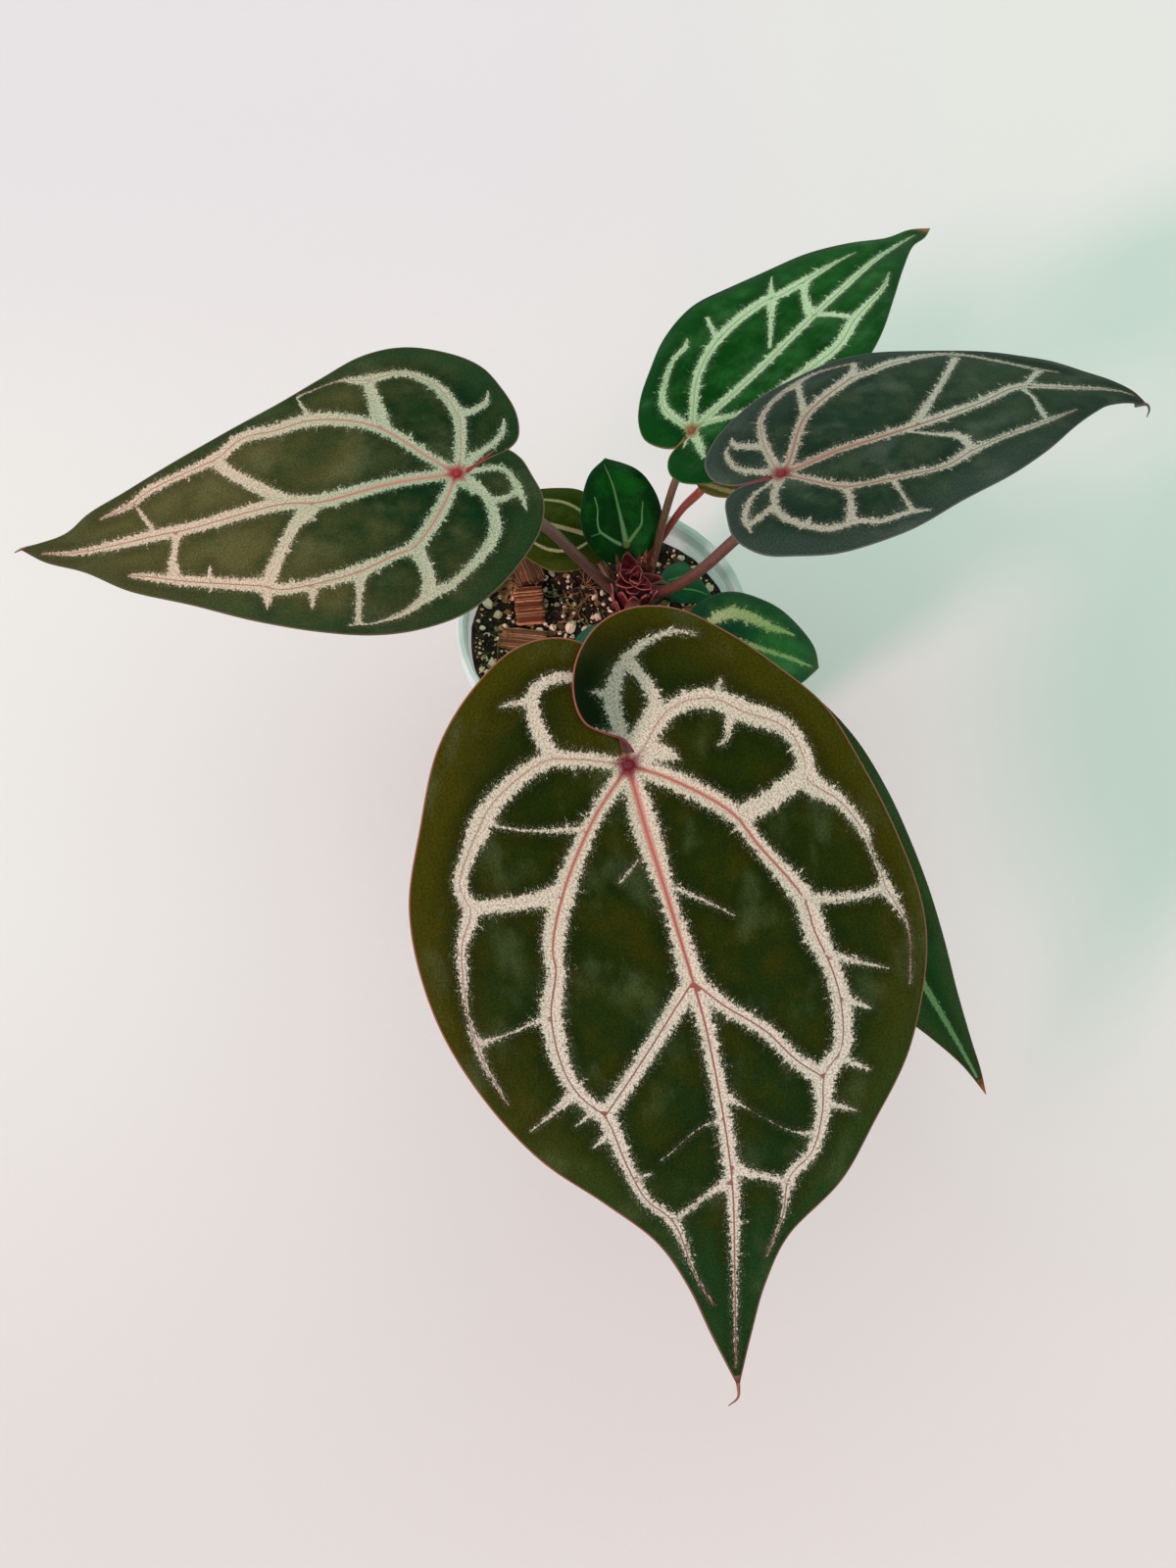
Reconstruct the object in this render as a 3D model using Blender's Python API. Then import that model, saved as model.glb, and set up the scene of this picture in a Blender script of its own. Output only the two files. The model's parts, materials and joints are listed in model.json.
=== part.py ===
"""Potted anthurium: heart-shaped leaves with pale raised veins, in a clear nursery pot.

The frame has its origin at the middle of the pot's underside, +X to the right, +Y away
from the viewer and +Z up. Every place and size below is in millimetres.
"""
import math
import random

import bmesh
import bpy
import numpy as np
from mathutils import Vector
from mathutils.geometry import delaunay_2d_cdt

MM = 0.001
GAP = 0.3

# the pot
POT_HEIGHT = 88.0
POT_BASE_RADIUS = 37.0
POT_NECK_RADIUS = 47.6
POT_RIM_RADIUS = 50.0
POT_WALL = 1.1
POT_FLOOR = 1.6
POT_SIDES = 44
RIM_BAND = 5.0
DRAIN_COUNT = 6
DRAIN_RADIUS = 3.5
DRAIN_CIRCLE = 24.0

# the soil
SOIL_LEVEL = 76.5
SOIL_STEP = 4.6
SOIL_LUMP = 1.7
SOIL_SEED = 11

# the crown, a short stem that every leaf stalk springs from
CROWN_AT = (10.5, 8.0)
CROWN_RADIUS = 6.0
CROWN_STUB_RADIUS = 4.6
CROWN_STUB_FOOT = 64.0
CROWN_SHOULDER = 80.5
CROWN_TOP = 101.0
CROWN_SIDES = 20

# the blades
BLADE_THICKNESS = 0.85
GROOVE_DEPTH = 0.3
RIB_DEPTH = 0.65
RIB_START = 3.0
TIP_TAPER = 0.75
HALF_WIDTH_SHARE = 0.38
BACK_FALL = 3.2
OVERLAP_FROM = 140.0
OVERLAP_FULL = 180.0

# the stalks
STALK_SIDES = 8
KNEE_LENGTH = 9.0
KNEE_SWELL = 1.18

# Each leaf: the place where its stalk joins, its tip, the roll about its midrib (which lifts
# the left side), how far the two sides of the heart are drawn together (1 is not at all), the
# seam direction of the heart's notch in degrees, how high it arches, cups, droops and waves,
# and the mesh steps. Its edges are points of the blade spread flat, x along the midrib and
# y to its left: the left edge from the notch to the tip, then the right edge back again.
LEAVES = {
    "front": dict(
        joint=(5.3, -105.5, 185), tip=(35.8, -250, 95), roll=0, close=0.85, seam=-150,
        arch=9, cup=3, drop=9, wave=1.2, turns=3.5, overlap=0.19, edge_step=6.5, inner_step=9.0,
        left=[(-2, 3), (-6, 3), (-10, 1), (-16, -1), (-23, 1), (-30, 7), (-34, 16), (-33, 25), (-27, 34),
              (-17, 41), (-5, 48), (8, 55), (22, 58), (42, 62), (62, 63), (78, 60), (93, 53),
              (108, 41), (121, 31), (132, 16.6), (144, 9.6), (158, 4.6)],
        right=[(156, -4.3), (140, -8), (126, -13.4), (113, -23.6), (100, -36), (84, -46), (62, -55),
               (38, -58), (18, -54), (0, -50), (-14, -43), (-24, -35), (-28, -26), (-27, -18),
               (-20, -13), (-11, -7), (-3, -2)],
        veins=[[(0, 0), (16, 1), (37, 3), (59, 5), (85, 7), (111, 6), (140, 3), (166, 0)],
               [(0, 0), (6, -4), (13, -10), (31, -20), (46, -25), (63, -28), (78, -27), (90, -20),
                (104, -17), (114, -14), (121, -9), (137, -6)],
               [(60, 4), (75, -8), (90, -20)],
               [(0, 0), (0, -15), (1, -22), (11, -35), (21, -41), (32, -44), (45, -46), (58, -47),
                (68, -46)],
               [(0, -20), (-6, -25), (-14, -28), (-18, -24)],
               [(36, -43), (34, -30), (32, -21)],
               [(16, -38), (17, -28), (16, -14)],
               [(69, -45), (65, -34), (63, -28)],
               [(114, 4), (116, 0), (121, -9)],
               [(0, 0), (8, 10), (21, 22), (34, 28), (48, 34), (65, 37), (82, 38), (92, 31),
                (104, 28), (111, 25), (117, 19), (127, 15)],
               [(59, 5), (67, 11), (76, 19), (86, 25), (92, 31)],
               [(0, 0), (-4, 9), (-7, 18), (-5, 28), (2, 35), (9, 43), (20, 43), (24, 47), (32, 52),
                (43, 55), (53, 55), (64, 58)],
               [(20, 43), (22, 28), (21, 22)],
               [(47, 34), (50, 42), (53, 55)],
               [(110, 7), (114, 13), (117, 19)]]),
    "left": dict(
        joint=(-44.8, 3.4, 166), tip=(-178.3, -13, 150), roll=-8, close=0.97, seam=-156,
        arch=9, cup=3, drop=8, wave=0.9, turns=3.0, overlap=0, edge_step=6.5, inner_step=9.0,
        left=[(-3, 0), (-9, -3.4), (-15, -5.6), (-19.4, -2), (-21.8, 5), (-23.4, 13), (-21, 22),
              (-14, 31), (-4, 40), (6, 46), (17, 48.4), (33, 48.2), (48, 45.4), (62, 40.4),
              (80, 32.4), (100, 23.6), (114, 14), (127, 7)],
        right=[(120, -0.5), (112, -4.5), (100, -8.3), (84, -14.3), (68, -20.5), (52, -27.5),
               (38, -35.5), (26, -42), (12, -45), (0, -43), (-9, -37.6), (-14.5, -29.6), (-18.6, -20),
               (-18.6, -12), (-15.5, -8.2), (-9.5, -5), (-3, -1.4)],
        veins=[[(0, 0), (19, 2), (41, 6), (60, 6), (85, 8), (104, 8), (117, 7), (127, 4)],
               [(0, 0), (7, -5), (23, -17), (41, -21), (55, -19), (70, -14), (81, -11), (92, -7)],
               [(71, -13), (62, -4), (51, 5)],
               [(0, 0), (-1, -8), (-2, -18), (4, -29), (13, -35), (25, -34), (44, -30)],
               [(24, -33), (22, -24), (22, -17)],
               [(0, 0), (6, 12), (16, 24), (31, 30), (45, 32), (59, 31), (73, 27), (87, 23)],
               [(42, 6), (49, 13), (58, 30)],
               [(84, 8), (86, 23)],
               [(0, 0), (-6, 8), (-8, 20), (-2, 30), (9, 38), (21, 43)],
               [(0, 0), (-6, -6), (-13, -11)]]),
    "right": dict(
        joint=(51.8, -2.6, 174), tip=(173.1, 42.6, 150), roll=-13, close=0.97, seam=-187,
        arch=8, cup=2, drop=8, wave=0.9, turns=3.0, overlap=0, edge_step=6.5, inner_step=9.0,
        left=[(-3, 0.7), (-9, 1.7), (-14, 3.3), (-18, 8), (-17, 15), (-12, 21), (-4, 27), (8, 33),
              (22, 38), (36, 41), (53, 40), (69, 37.2), (84, 32), (98, 27), (109, 23.2), (118, 16.7),
              (126, 11.4), (130.4, 6.5)],
        right=[(124, 0.7), (115, -0.8), (106, -5), (95, -10.8), (79, -19.7), (61, -27.3), (42, -31.7),
               (22, -37), (6, -36.5), (-8, -32.6), (-17, -29), (-22, -21), (-21, -12), (-18, -4),
               (-13, -1), (-3, -0.7)],
        veins=[[(0, 0), (19, 1), (34, 1), (49, 2), (69, 6), (87, 9), (104, 8), (124, 5)],
               [(0, 0), (8, 9), (18, 19), (28, 25), (41, 30), (57, 33), (74, 33), (89, 24), (104, 17)],
               [(0, 0), (0, 12), (6, 24), (16, 32), (30, 37)],
               [(45, 2), (58, 14), (76, 31)],
               [(0, 0), (13, -13), (28, -17), (44, -18), (57, -14), (72, -11), (84, -8)],
               [(42, 1), (52, -6), (56, -15)],
               [(0, 0), (-6, -9), (-7, -17), (3, -27), (18, -31)],
               [(0, 0), (-10, 8)]]),
    "back": dict(
        joint=(27.7, 33.6, 148), tip=(114.9, 135.8, 131), roll=-18, close=0.97, seam=-187,
        arch=8, cup=3, drop=5, wave=0.8, turns=3.0, overlap=0, edge_step=6.5, inner_step=9.5,
        left=[(-3, 0.7), (-8, 1.6), (-9.8, 6), (-9.2, 12), (-4.2, 18), (3.7, 23.2), (15.8, 28.4),
              (31.6, 34.2), (48, 35), (61, 30.6), (77, 24.7), (92, 19.6), (106, 12.6), (117, 5.7),
              (129, 3.6)],
        right=[(126, -4), (118, -5), (100, -12.7), (80, -22), (62, -29.8), (50, -33), (34, -35),
               (18, -33), (2, -29), (-8, -27), (-15, -22), (-19, -13), (-17.6, -6.6), (-12.6, -1.6),
               (-8.4, -0.5), (-3, -0.7)],
        veins=[[(0, 0), (14, -3), (30, -4), (54, -4), (78, -2), (100, -1), (125, 0)],
               [(0, 0), (9, 7), (20, 12), (37, 16), (52, 16), (65, 12), (76, 10), (94, 8)],
               [(63, 13), (52, 6), (42, -3)],
               [(0, 0), (3, 12), (12, 20), (24, 25)],
               [(0, 0), (5, -5), (12, -11), (25, -17), (39, -19), (52, -20), (64, -17), (82, -14)],
               [(61, -4), (64, -16)]]),
    "centre": dict(
        joint=(7.5, 18, 107), tip=(0.4, 37.9, 128), roll=0, close=0.97, seam=-180,
        arch=1.5, cup=2, drop=1, wave=0.2, turns=2.0, overlap=0, edge_step=3.4, inner_step=4.4,
        left=[(-2, 1), (-5, 3), (-4, 7), (-1, 10), (6, 13), (14, 13), (22, 9.8), (27, 6)],
        right=[(27, -4.8), (24, -8.6), (20, -11.2), (12, -13.6), (5, -13), (-2, -9), (-5, -5), (-5, -2),
               (-2, -1)],
        veins=[[(0, 0), (7, 0), (14, 0), (21, 0), (27, 0)],
               [(0, 0), (4, 5), (8, 8), (15, 7), (19, 7)],
               [(0, 0), (4, -4), (10, -7), (14, -8)]]),
    "olive_left": dict(
        joint=(-2.9, 26.8, 99), tip=(-43, 36, 100), roll=0, close=1.0, seam=-180,
        arch=2, cup=1, drop=2, wave=0.3, turns=2.0, overlap=0, edge_step=4.5, inner_step=6.0,
        left=[(-2, 1), (-5, 3), (-4, 9), (2, 14), (9, 17), (17, 16), (26, 12), (34, 7)],
        right=[(34, -7), (26, -12), (17, -16), (9, -17), (2, -14), (-4, -9), (-5, -3), (-2, -1)],
        veins=[[(0, 0), (12, 0), (24, 0), (36, 0)],
               [(0, 0), (5, 7), (13, 10), (22, 8)],
               [(0, 0), (5, -7), (13, -10), (22, -9)]]),
    "small_right": dict(
        joint=(20, 14.7, 90), tip=(37.4, 9.7, 88), roll=0, close=1.0, seam=-180,
        arch=1, cup=0, drop=2, wave=0, turns=1.0, overlap=0, edge_step=3.2, inner_step=4.2,
        left=[(-1, 3), (0, 7), (2, 10), (5, 12), (8, 10), (12, 6), (16, 2)],
        right=[(16, -2), (11, -5), (6, -6), (1, -4), (-2, -1)],
        veins=[[(0, 0), (6, -1), (12, 0), (16, 0)]]),
    "side_right": dict(
        joint=(31.7, -14.1, 102), tip=(70.9, -22.3, 95), roll=0, close=1.0, seam=-180,
        arch=3, cup=1, drop=2, wave=0.4, turns=2.0, overlap=0, edge_step=4.8, inner_step=6.4,
        left=[(-2, 2), (-5, 6), (-4, 11), (0, 15), (4, 18), (11, 20), (19, 18), (27, 15), (33, 11),
              (38, 6)],
        right=[(39, -3), (35, -9), (28, -14), (16, -18), (4, -16), (-4, -10), (-5, -4), (-2, -1)],
        veins=[[(0, 0), (12, 0), (24, -1), (38, -1)],
               [(0, 0), (5, 6), (12, 10), (20, 9), (29, 8)],
               [(0, 0), (5, -7), (12, -10), (22, -9)]]),
    "long_right": dict(
        joint=(43.8, -60.5, 128), tip=(117.3, -159.9, 70), roll=0, close=1.0, seam=-180,
        arch=6, cup=1, drop=3, wave=0.7, turns=3.0, overlap=0, edge_step=8.0, inner_step=10.5,
        left=[(-3, 2), (-9, 4), (-10, 11), (-3, 19), (9, 23), (24, 25), (40, 24), (56, 21.4), (72, 18),
              (88, 13.4), (104, 8.3), (120, 4.2), (129, 2.3)],
        right=[(124, -2.3), (111, -6.8), (98, -12), (80, -17), (58, -21), (36, -24), (12, -23),
               (-3, -18), (-10, -11), (-9, -4), (-3, -2)],
        veins=[[(0, 0), (20, 0), (45, 0), (75, 0), (100, 0), (130, 0)],
               [(0, 0), (14, 11), (34, 15), (58, 13), (82, 8)],
               [(0, 0), (14, -11), (34, -15), (58, -13), (82, -8)]]),
    "under_right": dict(
        joint=(31.7, 28.9, 127), tip=(94.1, 62, 129), roll=0, close=1.0, seam=-180,
        arch=3, cup=1, drop=2, wave=0.4, turns=2.0, overlap=0, edge_step=5.5, inner_step=7.5,
        left=[(-1.5, 2), (-4, 5), (-2, 9), (6, 13), (18, 16), (34, 15), (50, 10), (62, 5)],
        right=[(62, -5), (50, -10), (34, -16), (18, -16.5), (6, -11), (1, -7), (-1.5, -3)],
        veins=[[(0, 0), (16, 0), (40, 0), (62, 0)],
               [(0, 0), (8, 9), (22, 10)],
               [(0, 0), (8, -10), (22, -11)]]),
    "small_front": dict(
        joint=(1.4, -1.9, 85), tip=(-11.2, -18.5, 84), roll=0, close=1.0, seam=-180,
        arch=1, cup=0, drop=1, wave=0, turns=1.0, overlap=0, edge_step=3.6, inner_step=4.6,
        left=[(-2, 1), (-1, 4), (5, 7), (12, 6), (18, 2)],
        right=[(18, -2), (12, -6), (6, -7), (0, -5), (-2, -1)],
        veins=[[(0, 0), (8, 0), (17, 0)]]),
}

# Each stalk: the side of the crown that it leaves (degrees from +X) and the height there, its
# radius, the points that it passes on its way, and how long it runs square to its blade.
STALKS = {
    "front": dict(turn=-95, height=96.5, radius=2.0, square=9,
                  via=[(10, -5, 104), (9, -30, 133), (7, -60, 158), (5, -84, 173)]),
    "left": dict(turn=180, height=96.5, radius=1.85, square=9,
                 via=[(0, 8, 100), (-10, 6, 120), (-19, 4, 138), (-32, 3, 153)]),
    "right": dict(turn=-15, height=96.5, radius=1.85, square=9,
                  via=[(21, 4, 101), (31, 0, 119), (41, -1, 138), (47, -4, 153)]),
    "back": dict(turn=50, height=96, radius=1.3, square=8,
                 via=[(17, 16.5, 102), (20, 21.5, 120), (24.4, 28, 134)]),
    "centre": dict(turn=110, height=95.5, radius=0.95, square=3, via=[(7.6, 16.6, 100)]),
    "olive_left": dict(turn=147, height=88, radius=1.3, square=4, via=[(1.5, 16, 91)]),
    "small_right": dict(turn=18, height=85.5, radius=0.9, square=2, via=[(19, 12, 87)]),
    "side_right": dict(turn=-38, height=86.5, radius=1.4, square=5, via=[(20, 0, 90), (27, -8, 94)]),
    "long_right": dict(turn=-62, height=92.5, radius=1.7, square=8,
                       via=[(17, -5, 99), (26, -25, 113), (35, -45, 119)]),
    "under_right": dict(turn=80, height=91, radius=1.25, square=4,
                        via=[(14.3, 18.6, 96), (20.5, 21.9, 108.5), (26, 24.8, 118.5)]),
    "small_front": dict(turn=-138, height=83.4, radius=0.85, square=1.5, via=[(3.6, 0.7, 81.9)]),
}

# Thin red bud scales on the crown: direction in degrees, foot height, lean outwards, rise,
# length and half width.
SCALES = [
    (-140, 98, 0.55, 0.85, 9, 2.2),
    (150, 98, 0.45, 0.9, 10, 2.0),
    (60, 98.5, 0.35, 0.95, 12, 2.2),
    (10, 98, 0.5, 0.85, 9, 2.1),
    (-60, 98, 0.7, 0.7, 9, 2.3),
    (-160, 91.5, 1.0, 0.1, 11, 2.0),
    (-38, 93.5, 1.0, 0.25, 10, 1.8),
]

# Chips on the soil: middle, turn in degrees, length, width, height and number of fibre ridges.
CHIPS = {
    "coir_chip_1": dict(at=(-25.5, 12), turn=2, size=(13, 11, 4.5), ridges=6),
    "coir_chip_2": dict(at=(-28, -1), turn=84, size=(17, 7, 2.5), ridges=5),
    "bark_chip": dict(at=(-26, 26), turn=20, size=(10, 9, 4), ridges=3),
}
CHIP_GROOVE = 0.9


def clear_scene():
    for obj in list(bpy.data.objects):
        bpy.data.objects.remove(obj, do_unlink=True)


def material(name, colour, roughness, alpha=1.0):
    mat = bpy.data.materials.new(name)
    mat.use_nodes = True
    shader = mat.node_tree.nodes["Principled BSDF"]
    shader.inputs["Base Color"].default_value = (*colour, 1.0)
    shader.inputs["Roughness"].default_value = roughness
    shader.inputs["Metallic"].default_value = 0.0
    shader.inputs["Alpha"].default_value = alpha
    mat.diffuse_color = (*colour, alpha)
    return mat


def new_object(name, verts, faces, mat, parent, sharp_angle=50.0):
    """Makes one object from points in millimetres, its faces turned outwards."""
    mesh = bpy.data.meshes.new(name)
    mesh.from_pydata([Vector(v) * MM for v in verts], [], faces)
    form = bmesh.new()
    form.from_mesh(mesh)
    bmesh.ops.recalc_face_normals(form, faces=form.faces)
    form.to_mesh(mesh)
    form.free()
    mesh.shade_smooth()
    mesh.set_sharp_from_angle(angle=math.radians(sharp_angle))
    mesh.materials.append(mat)
    obj = bpy.data.objects.new(name, mesh)
    bpy.context.scene.collection.objects.link(obj)
    obj.parent = parent
    return obj


def smooth_path(points, step):
    """Points about one step apart on a smooth curve through the given ones."""
    knots = [np.array(p, float) for p in points]
    knots = [2 * knots[0] - knots[1]] + knots + [2 * knots[-1] - knots[-2]]
    curve = [knots[1]]
    for a, b, c, d in zip(knots, knots[1:], knots[2:], knots[3:]):
        before, across, after = (math.sqrt(max(np.linalg.norm(q - p), 1e-6))
                                 for p, q in ((a, b), (b, c), (c, d)))
        leave = (c - b) - (across / (before + across)) * (c - a) + (across / before) * (b - a)
        arrive = (c - b) - (across / (across + after)) * (d - b) + (across / after) * (d - c)
        pieces = 12
        for i in range(1, pieces + 1):
            t = i / pieces
            curve.append((2 * t**3 - 3 * t**2 + 1) * b + (t**3 - 2 * t**2 + t) * leave
                         + (3 * t**2 - 2 * t**3) * c + (t**3 - t**2) * arrive)
    curve = np.array(curve)
    along = np.concatenate([[0], np.cumsum(np.linalg.norm(np.diff(curve, axis=0), axis=1))])
    count = max(2, round(along[-1] / step) + 1)
    places = np.linspace(0, along[-1], count)
    return np.column_stack([np.interp(places, along, curve[:, i]) for i in range(curve.shape[1])])


def leaf_frame(leaf):
    """Joint, directions along the midrib, to the left and up off the blade, and length."""
    joint = np.array(leaf["joint"], float)
    along = np.array(leaf["tip"], float) - joint
    length = np.linalg.norm(along)
    along = along / length
    level = np.cross((0, 0, 1), along)
    level /= np.linalg.norm(level)
    up = np.cross(along, level)
    roll = math.radians(leaf["roll"])
    left = level * math.cos(roll) + up * math.sin(roll)
    up = up * math.cos(roll) - level * math.sin(roll)
    return joint, along, left, up, length


def smooth_step(value):
    value = min(max(value, 0.0), 1.0)
    return value * value * (3 - 2 * value)


def blade_point(leaf, frame, x, y):
    """Where a point of the flat pattern lies in space, and how far round it is from the tip."""
    joint, along, left, up, length = frame
    turn = leaf["seam"] + (math.degrees(math.atan2(y, x)) - leaf["seam"]) % 360
    angle = math.radians(turn / leaf["close"])
    reach = math.hypot(x, y)
    forward = reach * math.cos(angle)
    aside = reach * math.sin(angle)
    t = forward / length
    w = abs(aside) / (HALF_WIDTH_SHARE * length)
    height = leaf["arch"] * (4 * t * (1 - t) if t > 0 else BACK_FALL * t)
    height += 2.7 * leaf["cup"] * w * math.exp(-w) - leaf["drop"] * w * w / (1 + 0.5 * w)
    side = 1 if angle > 0 else -1
    height += leaf["wave"] * min(w, 1.3) ** 2 * math.sin(2 * math.pi * leaf["turns"] * t + side)
    over = smooth_step((math.degrees(angle) - OVERLAP_FROM) / (OVERLAP_FULL - OVERLAP_FROM))
    height += leaf["overlap"] * reach / (1 + reach / 100) * over
    return joint + along * forward + left * aside + up * height, over


def inside(outline, x, y):
    hit = False
    for (x0, y0), (x1, y1) in zip(outline, np.roll(outline, -1, axis=0)):
        if (y0 > y) != (y1 > y) and x < (x1 - x0) * (y - y0) / (y1 - y0) + x0:
            hit = not hit
    return hit


def fill_points(outline, lines, step, margin):
    """Points of a honeycomb inside the outline, kept off its edge and off the lines."""
    kept = np.vstack([outline] + lines) if lines else outline
    low, high = outline.min(axis=0), outline.max(axis=0)
    found = []
    row_height = step * math.sqrt(0.75)
    rows = int((high[1] - low[1]) / row_height) + 1
    columns = int((high[0] - low[0]) / step) + 2
    for row in range(rows):
        for column in range(columns):
            place = low + ((column + 0.5 * (row % 2)) * step, (row + 0.5) * row_height)
            near = np.min(np.hypot(*(kept - place).T))
            if near > margin and inside(outline, *place):
                found.append(place)
    return np.array(found).reshape(-1, 2)


def blade_pattern(leaf, length):
    """Triangles of the flat blade: points, triangles, loop of the edge and vein points."""
    step = leaf["edge_step"]
    tip = (length, 0)
    left = smooth_path(leaf["left"] + [tip], step)
    right = smooth_path([tip] + leaf["right"], step)
    outline = np.vstack([left, right[1:]])
    lines = [smooth_path(line, step) for line in leaf["veins"]]
    flat = [tuple(p) for p in outline]
    loop = list(range(len(outline)))
    edges = list(zip(loop, loop[1:] + loop[:1]))
    for line in lines:
        start = len(flat)
        flat.extend(tuple(p) for p in line)
        edges.extend((start + i, start + i + 1) for i in range(len(line) - 1))
    flat.extend(tuple(p) for p in fill_points(outline, lines, leaf["inner_step"], 0.55 * leaf["inner_step"]))
    merge = 0.35 * step
    points, _, faces, origins, _, _ = delaunay_2d_cdt(
        [Vector(p) for p in weld(flat, len(outline), merge)], edges, [], 0, 1e-4, True)
    faces = [f for f in faces if inside(outline, *(sum((points[i] for i in f), Vector((0, 0))) / 3))]
    vein_points = set()
    for index, sources in enumerate(origins):
        if any(len(outline) <= s < len(outline) + sum(len(line) for line in lines) for s in sources):
            vein_points.add(index)
    return [tuple(p) for p in points], [tuple(f) for f in faces], vein_points


def weld(points, first, reach):
    """Moves later points that nearly meet an earlier one exactly onto it."""
    welded = list(points[:first])
    for place in points[first:]:
        near = [p for p in welded if math.dist(p, place) < reach]
        welded.append(min(near, key=lambda p: math.dist(p, place)) if near else place)
    return welded


def boundary_edges(faces):
    seen = {}
    for face in faces:
        for a, b in zip(face, face[1:] + face[:1]):
            seen[(a, b)] = True
    return [(a, b) for a, b in seen if (b, a) not in seen]


def make_blade(name, leaf, mat, parent):
    frame = leaf_frame(leaf)
    up, length = frame[3], frame[4]
    points, faces, vein_points = blade_pattern(leaf, length)
    rim = {i for edge in boundary_edges(faces) for i in edge}
    top, bottom = [], []
    for index, (x, y) in enumerate(points):
        place, over = blade_point(leaf, frame, x, y)
        groove, rib = 0.0, 0.0
        if index in vein_points and index not in rim:
            reach = math.hypot(x, y)
            fade = (1 - over) * (1 - TIP_TAPER * max(0.0, min(1.0, reach / length)))
            groove = GROOVE_DEPTH * fade
            rib = RIB_DEPTH * fade * smooth_step((reach - RIB_START) / (2 * RIB_START))
        top.append(place - up * groove)
        bottom.append(place - up * (BLADE_THICKNESS + rib))
    count = len(points)
    solid = list(faces)
    solid += [tuple(count + i for i in reversed(face)) for face in faces]
    for a, b in boundary_edges(faces):
        solid += [(b, a, count + a), (b, count + a, count + b)]
    return new_object(f"blade_{name}", top + bottom, solid, mat, parent)


def tube(points, radii, sides):
    """Closed tube along the points, with flat ends."""
    points = np.array(points)
    ahead = np.gradient(points, axis=0)
    ahead /= np.linalg.norm(ahead, axis=1)[:, None]
    across = np.cross(ahead[0], (0.3, 0.2, 1.0) if abs(ahead[0][2]) < 0.9 else (1.0, 0.2, 0.1))
    across /= np.linalg.norm(across)
    verts = []
    for place, direction, radius in zip(points, ahead, radii):
        across = across - direction * (across @ direction)
        across /= np.linalg.norm(across)
        third = np.cross(direction, across)
        for k in range(sides):
            angle = 2 * math.pi * k / sides
            verts.append(place + radius * (across * math.cos(angle) + third * math.sin(angle)))
    faces = []
    for ring in range(len(points) - 1):
        for k in range(sides):
            a = ring * sides + k
            b = ring * sides + (k + 1) % sides
            faces.append((a, b, b + sides, a + sides))
    faces.append(tuple(reversed(range(sides))))
    faces.append(tuple(range(len(verts) - sides, len(verts))))
    return verts, faces


def make_stalk(name, stalk, leaf, mat, parent):
    """Stalk from the crown's side to the underside of its blade, thicker in its last bend."""
    joint, along, _, up, length = leaf_frame(leaf)
    slope = (4 + BACK_FALL) / 2 * leaf["arch"] / length
    up = up - along * slope
    up /= np.linalg.norm(up)
    turn = math.radians(stalk["turn"])
    outwards = np.array((math.cos(turn), math.sin(turn), 0.0))
    crown = np.array((*CROWN_AT, stalk["height"]))
    foot = crown + outwards * (CROWN_RADIUS + GAP + 0.1)
    blade_under = joint - up * (BLADE_THICKNESS + 2 * GAP)
    route = [foot, foot + outwards * 1.2, *stalk["via"],
             blade_under - up * (stalk["square"] - 1), blade_under]
    radius = stalk["radius"]
    path = smooth_path(route, max(3.0, 2.6 * radius))
    path[1] = foot + outwards * np.linalg.norm(path[1] - path[0])
    path[-2] = blade_under - up * np.linalg.norm(path[-1] - path[-2])
    left_to_go = np.linalg.norm(path - blade_under, axis=1)
    radii = [radius * (1 + (KNEE_SWELL - 1) * smooth_step(1.5 - d / KNEE_LENGTH)) for d in left_to_go]
    verts, faces = tube(path, radii, STALK_SIDES)
    return new_object(f"stalk_{name}", verts, faces, mat, parent)


def turned(profile, sides, centre=(0.0, 0.0)):
    """Solid turned from a closed profile of (radius, height); radius 0 ends it on the axis."""
    rings = []
    verts = []
    for radius, height in profile:
        if radius == 0:
            rings.append([len(verts)] * sides)
            verts.append((centre[0], centre[1], height))
            continue
        rings.append(list(range(len(verts), len(verts) + sides)))
        for k in range(sides):
            angle = 2 * math.pi * k / sides
            verts.append((centre[0] + radius * math.cos(angle), centre[1] + radius * math.sin(angle),
                          height))
    faces = []
    for lower, upper in zip(rings, rings[1:]):
        for k in range(sides):
            n = (k + 1) % sides
            face = list(dict.fromkeys((lower[k], lower[n], upper[n], upper[k])))
            faces.append(tuple(face))
    return verts, faces


def wall_radius(height):
    """Outer radius of the pot's wall at a height."""
    neck = POT_HEIGHT - RIM_BAND - 1
    return POT_BASE_RADIUS + (POT_NECK_RADIUS - POT_BASE_RADIUS) * min(height / neck, 1.0)


def cut(obj, cutters):
    for cutter in cutters:
        cutter.hide_render = True
        cutter.display_type = "WIRE"
        modifier = obj.modifiers.new(cutter.name, "BOOLEAN")
        modifier.operation = "DIFFERENCE"
        modifier.solver = "EXACT"
        modifier.object = cutter


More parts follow.
